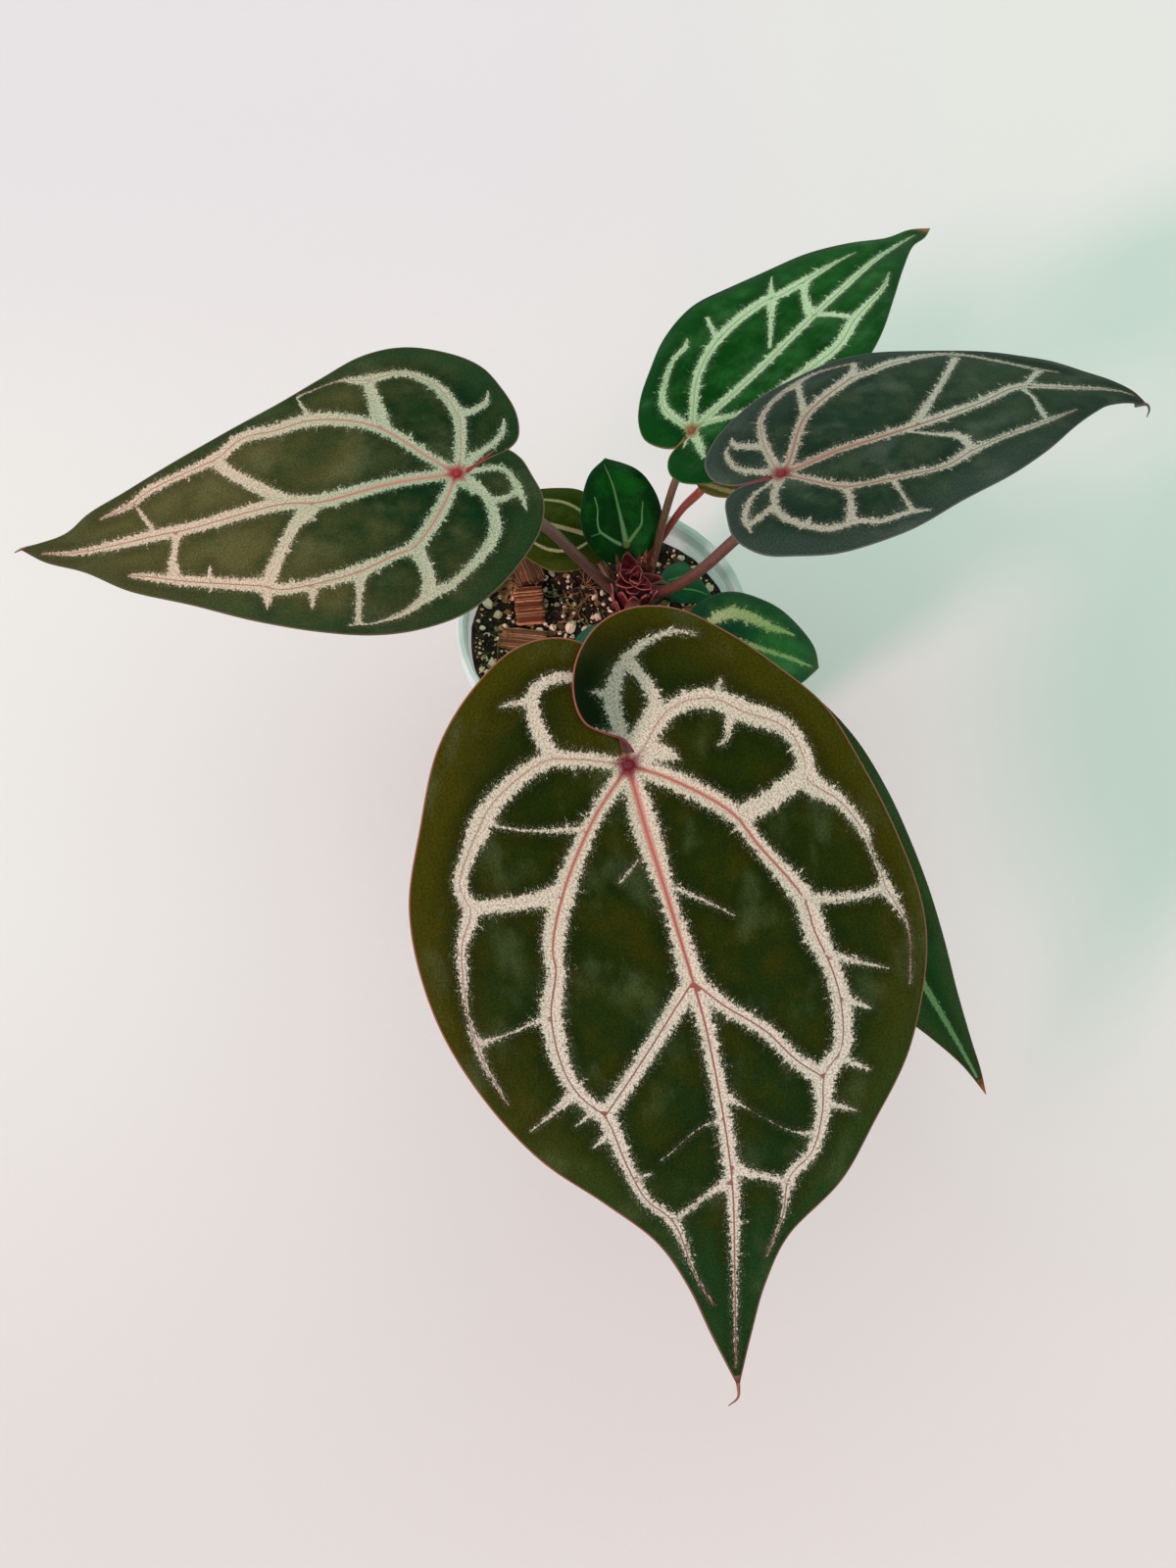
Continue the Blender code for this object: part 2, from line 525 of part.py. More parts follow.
def make_pot(mat, parent):
    band_foot = POT_HEIGHT - RIM_BAND
    inner_neck = POT_NECK_RADIUS - POT_WALL
    profile = [(0, 0), (POT_BASE_RADIUS - 1, 0), (wall_radius(1.2), 1.2),
               (POT_NECK_RADIUS, band_foot - 1), (POT_RIM_RADIUS - 0.6, band_foot),
               (POT_RIM_RADIUS, band_foot + 0.8), (POT_RIM_RADIUS, POT_HEIGHT - 1.4),
               (POT_RIM_RADIUS - 0.8, POT_HEIGHT), (POT_RIM_RADIUS - 2.2, POT_HEIGHT),
               (inner_neck + 0.4, POT_HEIGHT - 1.2), (inner_neck, band_foot - 1),
               (wall_radius(POT_FLOOR) - POT_WALL, POT_FLOOR), (0, POT_FLOOR)]
    verts, faces = turned(profile, POT_SIDES)
    pot = new_object("pot", verts, faces, mat, parent, sharp_angle=35.0)
    drains = []
    for i in range(DRAIN_COUNT):
        angle = 2 * math.pi * (i + 0.5) / DRAIN_COUNT
        hole = turned([(0, -1), (DRAIN_RADIUS, -1), (DRAIN_RADIUS, POT_FLOOR + 1), (0, POT_FLOOR + 1)], 14,
                      (DRAIN_CIRCLE * math.cos(angle), DRAIN_CIRCLE * math.sin(angle)))
        drains.append(new_object(f"drain_cutter_{i + 1}", *hole, mat, parent))
    cut(pot, drains)
    return pot


def soil_height(x, y, lumps):
    """Lumpy top of the mix: level under the chips and round the stem."""
    height = SOIL_LEVEL
    for lx, ly, size, rise in lumps:
        height += rise * math.exp(-((x - lx) ** 2 + (y - ly) ** 2) / size ** 2)
    height = min(max(height, SOIL_LEVEL - SOIL_LUMP), SOIL_LEVEL + SOIL_LUMP)
    flat = smooth_step((math.dist((x, y), CROWN_AT) - CROWN_STUB_RADIUS - 2) / 5)
    for chip in CHIPS.values():
        reach = math.dist((x, y), chip["at"]) - 0.85 * max(chip["size"])
        flat = min(flat, smooth_step(reach / 4))
    return SOIL_LEVEL + (height - SOIL_LEVEL) * flat


def circle(centre, radius, count):
    return [(centre[0] + radius * math.cos(2 * math.pi * k / count),
             centre[1] + radius * math.sin(2 * math.pi * k / count)) for k in range(count)]


def make_soil(mat, parent):
    """Soil up to its rough top, with a plain blind hole for the crown's stub."""
    draw = random.Random(SOIL_SEED)
    top_radius = wall_radius(SOIL_LEVEL - SOIL_LUMP) - POT_WALL - GAP - 0.1
    foot_radius = wall_radius(POT_FLOOR) - POT_WALL - GAP - 0.1
    hole_radius = CROWN_STUB_RADIUS + GAP + 0.1
    lumps = [(draw.uniform(-46, 46), draw.uniform(-46, 46), draw.uniform(2.5, 5),
              draw.uniform(-SOIL_LUMP, SOIL_LUMP * 1.3)) for _ in range(150)]
    rim = circle((0, 0), top_radius, POT_SIDES)
    hole = circle(CROWN_AT, hole_radius, CROWN_SIDES)
    inner = fill_points(np.array(rim), [np.array(hole)], SOIL_STEP, 0.6 * SOIL_STEP)
    inner = [tuple(p) for p in inner if math.dist(p, CROWN_AT) > hole_radius + 0.5 * SOIL_STEP]
    flat = rim + hole + inner
    points, _, faces, _, _, _ = delaunay_2d_cdt(
        [Vector(p) for p in flat], [], [], 0, 1e-4, False)
    ring = range(len(rim), len(rim) + len(hole))
    faces = [tuple(f) for f in faces if not all(i in ring for i in f)]
    verts = [(p.x, p.y, soil_height(p.x, p.y, lumps)) for p in points]
    floor_z = POT_FLOOR + GAP + 0.1
    hole_z = CROWN_STUB_FOOT - GAP - 0.1
    extra = len(verts)
    verts += [(x * foot_radius / top_radius, y * foot_radius / top_radius, floor_z) for x, y in rim]
    verts += [(x, y, hole_z) for x, y in hole]
    lower = {i: extra + i for i in range(len(rim))}
    lower.update({i: extra + i for i in ring})
    solid = list(faces)
    for a, b in boundary_edges(faces):
        solid += [(b, a, lower[a], lower[b])]
    solid.append(tuple(lower[i] for i in reversed(range(len(rim)))))
    solid.append(tuple(lower[i] for i in ring))
    return new_object("soil", verts, solid, mat, parent)


def make_chip(name, chip, mat, parent):
    """Chip of husk or bark, its upper side ridged along the fibres."""
    length, width, height = chip["size"]
    bottom = SOIL_LEVEL + GAP + 0.1
    ridges = chip["ridges"]
    profile = [(-width / 2, 0), (width / 2, 0)]
    for i in range(2 * ridges + 1):
        across = width / 2 - width * i / (2 * ridges)
        profile.append((across, height - (CHIP_GROOVE if i % 2 == 0 else 0.0)))
    turn = math.radians(chip["turn"])
    verts = []
    for end, slant in ((-0.5, 0.0), (0.0, 0.35), (0.5, 0.0)):
        for i, (across, rise) in enumerate(profile):
            along = length * end + (0.7 * math.sin(2.1 * i) if end else 0.0)
            x = chip["at"][0] + across * math.cos(turn) - along * math.sin(turn)
            y = chip["at"][1] + across * math.sin(turn) + along * math.cos(turn)
            verts.append((x, y, bottom + rise + (slant if rise else 0.0)))
    count = len(profile)
    faces = []
    for ring in range(2):
        for k in range(count):
            a, b = ring * count + k, ring * count + (k + 1) % count
            faces.append((a, b, b + count, a + count))
    faces += [tuple(reversed(range(count))), tuple(range(2 * count, 3 * count))]
    return new_object(name, verts, faces, mat, parent, sharp_angle=30.0)


def scale_solid(turn, foot, lean, rise, length, half_width):
    """One pointed bud scale, sunk into the crown, curving up as it leaves it."""
    angle = math.radians(turn)
    outwards = np.array((math.cos(angle), math.sin(angle), 0.0))
    aside = np.array((-math.sin(angle), math.cos(angle), 0.0))
    upwards = np.array((0, 0, 1.0))
    start = np.array((*CROWN_AT, foot)) + outwards * (CROWN_RADIUS - 3.5)
    verts = []
    rings = 5
    for i in range(rings):
        t = i / (rings - 1)
        spine = start + outwards * lean * length * t * (1 - 0.25 * t) + upwards * rise * length * t ** 1.3
        width = half_width * (1 - t ** 2) + 0.35
        curl = 0.5 * (1 - t)
        verts.append(spine + aside * width + outwards * -curl)
        verts.append(spine + outwards * 0.45 + upwards * 0.3)
        verts.append(spine - aside * width + outwards * -curl)
        verts.append(spine - outwards * 0.45 - upwards * 0.4)
    faces = []
    for ring in range(rings - 1):
        for k in range(4):
            a, b = 4 * ring + k, 4 * ring + (k + 1) % 4
            faces.append((a, b, b + 4, a + 4))
    faces += [(3, 2, 1, 0), tuple(range(4 * rings - 4, 4 * rings))]
    return verts, faces


def make_crown(mat, parent):
    """Short stem with its stub in the soil, and bud scales fused to it."""
    profile = [(0, CROWN_STUB_FOOT), (CROWN_STUB_RADIUS, CROWN_STUB_FOOT),
               (CROWN_STUB_RADIUS, CROWN_SHOULDER - 2), (CROWN_RADIUS, CROWN_SHOULDER),
               (CROWN_RADIUS, CROWN_TOP - 3), (0.78 * CROWN_RADIUS, CROWN_TOP - 1),
               (0.4 * CROWN_RADIUS, CROWN_TOP), (0, CROWN_TOP)]
    verts, faces = turned(profile, CROWN_SIDES, CROWN_AT)
    crown = new_object("crown", verts, faces, mat, parent)
    for i, values in enumerate(SCALES):
        scale = new_object(f"scale_guide_{i + 1}", *scale_solid(*values), mat, parent)
        scale.hide_render = True
        scale.display_type = "WIRE"
        modifier = crown.modifiers.new(scale.name, "BOOLEAN")
        modifier.operation = "UNION"
        modifier.solver = "EXACT"
        modifier.object = scale
    return crown


BLADE_COLOURS = {
    "front": (0.055, 0.07, 0.02), "left": (0.03, 0.07, 0.035), "right": (0.05, 0.075, 0.065),
    "back": (0.02, 0.11, 0.04), "centre": (0.015, 0.08, 0.03), "olive_left": (0.06, 0.08, 0.02),
    "small_right": (0.02, 0.12, 0.05), "side_right": (0.02, 0.09, 0.04),
    "long_right": (0.02, 0.06, 0.03), "under_right": (0.07, 0.09, 0.02), "small_front": (0.03, 0.1, 0.09),
}
STALK_COLOURS = {
    "front": (0.2, 0.07, 0.06), "left": (0.19, 0.07, 0.07), "right": (0.19, 0.06, 0.06),
    "back": (0.13, 0.08, 0.03), "centre": (0.1, 0.1, 0.03), "olive_left": (0.12, 0.09, 0.03),
    "small_right": (0.1, 0.11, 0.03), "side_right": (0.12, 0.08, 0.04), "long_right": (0.16, 0.07, 0.05),
    "under_right": (0.3, 0.05, 0.04), "small_front": (0.1, 0.1, 0.04),
}


def main():
    clear_scene()
    plant = bpy.data.objects.new("plant", None)
    bpy.context.scene.collection.objects.link(plant)
    make_pot(material("clear_plastic", (0.8, 0.83, 0.8), 0.15, alpha=0.35), plant)
    make_soil(material("potting_mix", (0.045, 0.03, 0.02), 0.95), plant)
    for name, chip in CHIPS.items():
        make_chip(name, chip, material(name, (0.3, 0.13, 0.06), 0.9), plant)
    make_crown(material("crown", (0.22, 0.04, 0.045), 0.6), plant)
    for name, leaf in LEAVES.items():
        make_blade(name, leaf, material(f"blade_{name}", BLADE_COLOURS[name], 0.6), plant)
        make_stalk(name, STALKS[name], leaf, material(f"stalk_{name}", STALK_COLOURS[name], 0.5), plant)


main()
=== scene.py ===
"""Looks for the potted anthurium: fine blades with feathered silver veins, stalks, crown and soil."""

import json
import math
import random

import bmesh
import bpy
import numpy as np
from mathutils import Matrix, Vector
from mathutils.geometry import delaunay_2d_cdt

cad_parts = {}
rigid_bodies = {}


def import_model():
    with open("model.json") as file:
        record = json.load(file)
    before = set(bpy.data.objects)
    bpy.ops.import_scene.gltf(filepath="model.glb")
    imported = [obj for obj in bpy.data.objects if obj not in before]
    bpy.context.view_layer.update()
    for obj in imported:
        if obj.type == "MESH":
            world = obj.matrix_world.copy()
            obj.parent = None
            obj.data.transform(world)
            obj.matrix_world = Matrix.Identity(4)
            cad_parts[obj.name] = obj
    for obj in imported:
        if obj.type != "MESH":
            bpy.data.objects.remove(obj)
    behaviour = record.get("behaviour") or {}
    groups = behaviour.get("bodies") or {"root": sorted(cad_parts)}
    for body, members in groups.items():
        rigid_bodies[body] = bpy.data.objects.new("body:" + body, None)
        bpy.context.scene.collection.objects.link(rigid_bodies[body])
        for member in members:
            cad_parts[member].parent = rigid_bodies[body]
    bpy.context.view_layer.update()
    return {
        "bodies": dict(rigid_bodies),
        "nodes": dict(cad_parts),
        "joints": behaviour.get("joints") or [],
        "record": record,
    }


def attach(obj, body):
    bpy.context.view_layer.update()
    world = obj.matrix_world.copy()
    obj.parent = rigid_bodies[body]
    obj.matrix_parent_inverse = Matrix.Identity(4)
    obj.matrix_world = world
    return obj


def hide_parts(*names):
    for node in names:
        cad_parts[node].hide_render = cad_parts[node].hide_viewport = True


MM = 0.001

# The pot, the soil and the crown, in millimetres as in the part. The mix keeps the soil gap from
# the pot's wall and the foot gap from its floor.
POT_HEIGHT = 88.0
POT_FLOOR = 1.6
POT_BASE_RADIUS = 37.0
POT_NECK_RADIUS = 47.6
POT_WALL = 1.1
RIM_BAND = 5.0
SOIL_LEVEL = 76.5
SOIL_GAP = 0.3
SOIL_FOOT_GAP = 0.4
SOIL_RINGS = 58
SOIL_SIDES = 180
CROWN_AT = (10.5, 8.0)
CROWN_RADIUS = 6.0
CROWN_STUB_RADIUS = 4.6
CROWN_STUB_FOOT = 64.0
CROWN_SHOULDER = 80.5
CROWN_TOP = 101.0
CROWN_SIDES = 48

# The blades: thickness, grooves and ribs along the midlines, and the puffed ground between them.
# Grooves and ribs are full in leaves of at least the grooved length, the puff from the puffed one.
BLADE_THICKNESS = 0.85
RIM_THICKNESS = 0.45
EDGE_TAPER = 3.0
GROOVE_DEPTH = 0.35
GROOVE_WIDTH = 1.1
GROOVED_LENGTH = 60.0
RIB_DEPTH = 0.6
RIB_WIDTH = 0.9
RIB_START = 3.0
RIB_FADE = 6.0
PUFF = 0.5
PUFF_WIDTH = 5.0
PUFFED_LENGTH = 100.0
HALF_WIDTH_SHARE = 0.38
BACK_FALL = 3.2
OVERLAP_FROM = 140.0
OVERLAP_FULL = 180.0
# Painted shade on an overlapping lobe: how far from the joint it reaches and over what length it fades.
FOLD_SHADE_REACH = 46.0
FOLD_SHADE_FADE = 22.0
TIP_LENGTH = 5.0

# Spacing in a blade's mesh, as shares of its leaf's step.
VEIN_STEP = 1.2
VEIN_CLEAR = 0.4
FILL_CLEAR = 0.55

# The pale bands: how far their barbs, frost and thorns reach, how far the painted shade on the
# ground beside them reaches, and how far the pattern moves on from one vein to the next.
BARB_REACH = 2.8
FROST_REACH = 6.0
THORN_REACH = 1.5
BAND_SHADE_REACH = 5.0
VEIN_SHIFT = 37.0

# Ranks of veins. Main veins carry the coloured midline.
FIRST = 1.0
MAIN = 0.65
OUTER = 0.42
SIDE = 0.12

# Each leaf repeats the part's placing and outline. A group of veins is a rank and then the veins
# one after another, each with points of x, y and half the width of its pale band.
LEAVES = {
    "front": dict(
        joint=(5.3, -105.5, 185), tip=(35.8, -250, 95), roll=0, close=0.85, seam=-150, arch=9, cup=3,
        drop=9, wave=1.2, turns=3.5, overlap=0.19, step=1.1,
        left=[(-2, 3), (-6, 3), (-10, 1), (-16, -1), (-23, 1), (-30, 7), (-34, 16), (-33, 25), (-27, 34),
            (-17, 41), (-5, 48), (8, 55), (22, 58), (42, 62), (62, 63), (78, 60), (93, 53), (108, 41),
            (121, 31), (132, 16.6), (144, 9.6), (158, 4.6)],
        right=[(156, -4.3), (140, -8), (126, -13.4), (113, -23.6), (100, -36), (84, -46), (62, -55),
            (38, -58), (18, -54), (0, -50), (-14, -43), (-24, -35), (-28, -26), (-27, -18), (-20, -13),
            (-11, -7), (-3, -2)],
        veins=[
            (FIRST, [(0, 0, 2.2), (16, 1, 3.6), (37, 3, 2.3), (59, 5, 3.2), (72, 6, 2.3), (111, 6, 2.2),
            (140, 3, 1), (167, 0, 0.2)]),
            (MAIN, [(0, 0, 2), (4, -3, 2.5), (13, -10, 2.2), (31, -20, 3), (46, -25, 3), (51, -25, 2.6),
            (63, -28, 3.1), (78, -27, 2.4), (85, -24, 2.4), (90, -20, 2.6), (104, -17, 2), (114, -14, 1.7),
            (121, -9, 1.8), (137, -6, 0.5), (147, -3, 0.2)], [(60, 4, 3), (75, -8, 2.6), (90, -20, 2.4)]),
            (OUTER, [(0, 0, 1.8), (0, -15, 2.3), (1, -22, 2.4), (11, -35, 2.8), (19, -40, 3.1),
            (23, -42, 2.2), (31, -45, 2.3), (37, -43, 2.6), (45, -46, 1.8), (58, -47, 1.1), (63, -47, 0.5),
            (68, -46, 1.3), (74, -45, 1), (85, -41, 0.2)]),
            (SIDE, [(0, -20, 2.6), (-6, -25, 2.4), (-14, -28, 2.1), (-18, -24, 1.9), (-19, -19, 1.7)],
            [(-12, -28, 1.8), (-11, -33, 0.9), (-10, -36, 0.2)], [(16, -38, 1), (17, -29, 0.4),
            (16, -14, 1.4)], [(36, -43, 2.3), (34, -29, 2.3), (32, -21, 3.3)], [(69, -45, 1.3),
            (67, -39, 0.5), (64, -32, 1), (63, -28, 2.3)], [(84, -27, 1.8), (89, -33, 0.6),
            (92, -37, 0.3)], [(95, -20, 1.8), (98, -24, 0.2)], [(88, -22, 1.5), (92, -27, 0.2)],
            [(108, -16, 1.3), (107, -12, 0.3)], [(114, 4, 2.2), (116, 0, 1), (121, -9, 1.3)],
            [(97, 6, 1.5), (97, 2, 0.4), (104, -9, 0.2)], [(25, -2, 0.3), (30, -7, 0.5)]),
            (MAIN, [(0, 0, 2.1), (8, 10, 2.8), (21, 22, 2.6), (30, 26, 2.2), (47, 34, 3.1), (56, 35, 3.4),
            (65, 37, 2.6), (75, 38, 2.9), (87, 36, 2.9), (92, 31, 3.4), (101, 29, 2.3), (111, 25, 2.1),
            (116, 19, 2.1), (126, 16, 0.8), (136, 11, 0.3)], [(59, 5, 3.1), (67, 11, 2.3), (76, 19, 2.2),
            (86, 25, 2.2), (92, 30, 2.9)]),
            (OUTER, [(0, 0, 2.1), (-1, 4, 2.3), (-7, 17, 2.5), (-5, 28, 3), (1, 34, 3.3), (9, 43, 2.7),
            (18, 44, 3.1), (21, 43, 3.3), (30, 50, 2.1), (40, 54, 1.6), (43, 54, 0.8), (50, 55, 1.4),
            (53, 55, 2.1), (64, 58, 0.4), (78, 56, 0.3)]),
            (SIDE, [(0, 1, 2.3), (0, 8, 2.9), (2, 11, 2.1), (4, 13, 0.5)], [(-4, 29, 2.3), (-8, 33, 0.4)],
            [(0, 31, 2.1), (5, 26, 0.8), (5, 24, 0.4)], [(20, 42, 3.1), (22, 29, 2.9), (22, 26, 3.3),
            (23, 24, 2.3)], [(47, 34, 2.3), (48, 36, 1.8), (52, 48, 1.4), (53, 55, 1.6)], [(62, 36, 2.1),
            (68, 45, 0.8), (72, 51, 0.2)], [(75, 39, 2.1), (80, 45, 0.3)], [(89, 35, 1.8), (95, 42, 0.3)],
            [(100, 31, 1.6), (104, 37, 0.2)], [(110, 7, 2.1), (112, 9, 1.9), (114, 13, 1.3),
            (118, 19, 1.6)], [(91, 8, 2.1), (94, 11, 0.4), (104, 21, 0.3), (106, 25, 1)], [(34, 5, 1),
            (41, 13, 0.4), (45, 17, 0.2)], [(0, 0, 1.6), (-6, 3, 2), (-16, 7, 2.4), (-22, 14, 2.1),
            (-24, 22, 1.4), (-23, 29, 1), (-20, 34, 0.5)], [(-21, 16, 2.1), (-15, 16, 1.9), (-10, 15, 2.2),
            (-4, 5, 2.6)], [(-18, 7, 2.1), (-21, 5, 0.5)], [(-7, 2, 1.8), (-13, 0, 0.4)])]),
    "left": dict(
        joint=(-44.8, 3.4, 166), tip=(-178.3, -13, 150), roll=-8, close=0.97, seam=-156, arch=9, cup=3,
        drop=8, wave=0.9, turns=3, overlap=0, step=1.2,
        left=[(-3, 0), (-9, -3.4), (-15, -5.6), (-19.4, -2), (-21.8, 5), (-23.4, 13), (-21, 22), (-14, 31),
            (-4, 40), (6, 46), (17, 48.4), (33, 48.2), (48, 45.4), (62, 40.4), (80, 32.4), (100, 23.6),
            (114, 14), (127, 7)],
        right=[(120, -0.5), (112, -4.5), (100, -8.3), (84, -14.3), (68, -20.5), (52, -27.5), (38, -35.5),
            (26, -42), (12, -45), (0, -43), (-9, -37.6), (-14.5, -29.6), (-18.6, -20), (-18.6, -12),
            (-15.5, -8.2), (-9.5, -5), (-3, -1.4)],
        veins=[
            (FIRST, [(0, 0, 2.1), (19, 2, 2.3), (41, 6, 2.6), (51, 5, 2.6), (80, 8, 2), (91, 8, 2.2),
            (104, 8, 1.7), (117, 7, 0.9), (128, 4, 0.2)]),
            (MAIN, [(0, 0, 1.6), (7, -5, 1.9), (23, -17, 2.1), (41, -21, 2.5), (52, -19, 2.2),
            (62, -18, 2.1), (70, -13, 2), (81, -10, 1.5), (92, -7, 1.6), (98, -4, 1.2), (108, -2, 0.3)]),
            (SIDE, [(71, -12, 2.1), (66, -7, 1.8), (51, 4, 2.3)], [(96, -2, 0.5), (92, 5, 0.8)]),
            (OUTER, [(0, 0, 1.6), (-1, -3, 1.9), (-2, -13, 1.8), (-2, -18, 2), (3, -29, 1.9),
            (10, -34, 1.5), (15, -35, 1.2), (25, -33, 1.8), (32, -34, 0.4), (45, -30, 0.3)]),
            (SIDE, [(24, -33, 2.1), (23, -29, 1.8), (21, -20, 2.7), (20, -16, 2.4)], [(45, -29, 0.2),
            (42, -23, 0.9)], [(-2, -20, 2.1), (-6, -21, 1.2), (-10, -24, 1), (-11, -28, 0.2)],
            [(0, 0, 1.8), (-5, -5, 1.6), (-9, -8, 1), (-14, -13, 1), (-15, -18, 0.4)]),
            (MAIN, [(0, 0, 1.8), (6, 12, 2.3), (16, 24, 2.2), (20, 25, 1.7), (31, 29, 2.3), (40, 31, 2),
            (55, 32, 1.9), (60, 30, 2.6), (64, 29, 2), (84, 24, 1.6), (96, 20, 1), (100, 19, 0.3)]),
            (SIDE, [(42, 6, 2.6), (45, 9, 2.9), (49, 13, 1.9), (58, 28, 2.3)], [(84, 8, 2), (85, 13, 1.1),
            (86, 17, 1.2), (86, 21, 2)], [(15, 24, 2.3), (13, 34, 2), (14, 38, 2.3)], [(32, 30, 2.6),
            (33, 35, 1.1), (35, 44, 0.9)], [(0, 0, 1.8), (-2, 3, 2.7), (-7, 9, 1.6), (-8, 21, 1.9),
            (-4, 27, 1.6), (8, 37, 1.4), (12, 38, 1.9), (21, 43, 0.9), (30, 45, 0.3), (38, 45, 0.2)],
            [(0, 0, 1.5), (-7, 0, 1), (-14, 1, 0.9), (-17, 9, 1.3), (-18, 16, 0.2)], [(-9, 11, 1.5),
            (-12, 11, 1), (-17, 9, 1.2)], [(46, 33, 1.7), (47, 39, 0.3)], [(59, 31, 2.3), (60, 37, 0.2)],
            [(76, 26, 1.4), (75, 21, 0.2)])]),
    "right": dict(
        joint=(51.8, -2.6, 174), tip=(173.1, 42.6, 150), roll=-13, close=0.97, seam=-187, arch=8, cup=2,
        drop=8, wave=0.9, turns=3, overlap=0, step=1.2,
        left=[(-3, 0.7), (-9, 1.7), (-14, 3.3), (-18, 8), (-17, 15), (-12, 21), (-4, 27), (8, 33),
            (22, 38), (36, 41), (53, 40), (69, 37.2), (84, 32), (98, 27), (109, 23.2), (118, 16.7),
            (126, 11.4), (130.4, 6.5)],
        right=[(124, 0.7), (115, -0.8), (106, -5), (95, -10.8), (79, -19.7), (61, -27.3), (42, -31.7),
            (22, -37), (6, -36.5), (-8, -32.6), (-17, -29), (-22, -21), (-21, -12), (-18, -4), (-13, -1),
            (-3, -0.7)],
        veins=[
            (FIRST, [(0, 0, 1.5), (7, 0, 1.6), (19, 1, 1.5), (31, 1, 1.5), (49, 2, 1.8), (69, 5, 1.7),
            (87, 10, 1.5), (103, 8, 1.1), (124, 6, 0.5), (129, 4, 0.3)]),
            (MAIN, [(0, 0, 1.4), (4, 3, 1.5), (18, 19, 1.6), (41, 30, 2), (45, 30, 1.5), (54, 32, 1.8),
            (74, 33, 0.9), (89, 24, 0.7), (98, 19, 0.7), (107, 16, 0.2)]),
            (SIDE, [(37, 29, 2.1), (41, 32, 1.4), (44, 36, 0.9)]),
            (OUTER, [(0, 0, 1.3), (0, 5, 1.7), (1, 12, 1.5), (6, 24, 1), (16, 32, 0.8), (23, 35, 1.1),
            (31, 38, 0.6), (43, 37, 0.3)]),
            (SIDE, [(24, 35, 1.4), (22, 30, 1), (18, 20, 1.5)], [(1, 12, 1.8), (-6, 18, 1.2),
            (-5, 21, 0.3)], [(0, 0, 1.2), (-2, 2, 1.3), (-10, 8, 1.2), (-10, 15, 0.8), (-8, 18, 0.3)]),
            (MAIN, [(0, 0, 1.4), (13, -14, 1.6), (20, -16, 1.1), (28, -17, 1.4), (44, -18, 1.3),
            (54, -15, 1.9), (62, -13, 1.2), (84, -8, 1), (101, -3, 0.2)]),
            (SIDE, [(42, 0, 0.6), (48, -4, 0.9), (55, -8, 1.8), (55, -14, 1.7)], [(45, 2, 1.7),
            (50, 6, 1.5), (62, 16, 1), (76, 29, 1.3)], [(90, 10, 1.2), (95, 14, 0.9), (100, 17, 1.1)],
            [(88, 8, 0.9), (89, 4, 0.8), (87, -5, 1.2)], [(0, 0, 1.2), (-1, -2, 1.5), (-6, -9, 1.1),
            (-7, -17, 1.4), (3, -27, 1.3), (11, -28, 1.2), (17, -31, 1), (26, -31, 0.9), (32, -32, 0.3)],
            [(13, -14, 2), (13, -18, 1.1), (10, -27, 1.7)], [(27, -18, 1.4), (27, -22, 0.7),
            (27, -30, 0.8)], [(0, 0, 1.2), (-5, -3, 0.7), (-11, -6, 0.7), (-17, -15, 1.1),
            (-17, -20, 0.3)], [(-16, -17, 1.1), (-8, -13, 1.1)], [(-2, -23, 1.1), (0, -21, 0.5)])]),
    "back": dict(
        joint=(27.7, 33.6, 148), tip=(114.9, 135.8, 131), roll=-18, close=0.97, seam=-187, arch=8, cup=3,
        drop=5, wave=0.8, turns=3, overlap=0, step=1.2,
        left=[(-3, 0.7), (-8, 1.6), (-9.8, 6), (-9.2, 12), (-4.2, 18), (3.7, 23.2), (15.8, 28.4),
            (31.6, 34.2), (48, 35), (61, 30.6), (77, 24.7), (92, 19.6), (106, 12.6), (117, 5.7),
            (129, 3.6)],
        right=[(126, -4), (118, -5), (100, -12.7), (80, -22), (62, -29.8), (50, -33), (34, -35), (18, -33),
            (2, -29), (-8, -27), (-15, -22), (-19, -13), (-17.6, -6.6), (-12.6, -1.6), (-8.4, -0.5),
            (-3, -0.7)],
        veins=[
            (FIRST, [(0, 0, 1.8), (5, -1, 2.1), (30, -4.6, 1.9), (78, -3.2, 1.8), (99, -1, 1.4),
            (126, 0, 0.3)]),
            (MAIN, [(0, 0, 1.5), (20, 12, 1.7), (37, 16, 2.1), (61, 14, 2.4), (65, 12, 2.2), (76, 10, 2),
            (94, 8, 0.6), (101, 7, 0.3)]),
            (SIDE, [(62, 13, 2.2), (56, 9, 1.3), (41, -1, 0.5)], [(63, 14, 1.6), (67, 17, 0.8),
            (73, 21, 0.2)], [(75, 9, 1.9), (70, 6, 1.3), (62, -2, 2.2)], [(37, 17, 1.6), (40, 21, 0.8),
            (44, 26, 0.8)]),
            (OUTER, [(0, 0, 1.5), (3, 12, 1.7), (6, 16, 1.4), (23, 24, 1), (29, 24, 1.3), (33, 26, 0.3)]),
            (MAIN, [(0, 0, 1.5), (3, -1, 1.8), (11, -11, 1.2), (25, -17, 1.8), (38, -20.2, 2.4),
            (51, -21.4, 2.2), (63, -18.4, 2.2), (85, -15, 0.9), (94, -11, 0.3)]),
            (SIDE, [(61, -3, 1.9), (63, -10, 1.4), (64, -15, 1.6)], [(0, 0, 1.5), (-5, -8, 1.5),
            (-8, -12, 0.7)], [(-1, 0, 1.2), (-4, -1, 0.7), (-7, -3, 0.3)])]),
    "centre": dict(
        joint=(7.5, 18, 107), tip=(0.4, 37.9, 128), roll=0, close=0.97, seam=-180, arch=1.5, cup=2, drop=1,
        wave=0.2, turns=2, overlap=0, step=0.8,
        left=[(-2, 1), (-5, 3), (-4, 7), (-1, 10), (6, 13), (14, 13), (22, 9.8), (27, 6)],
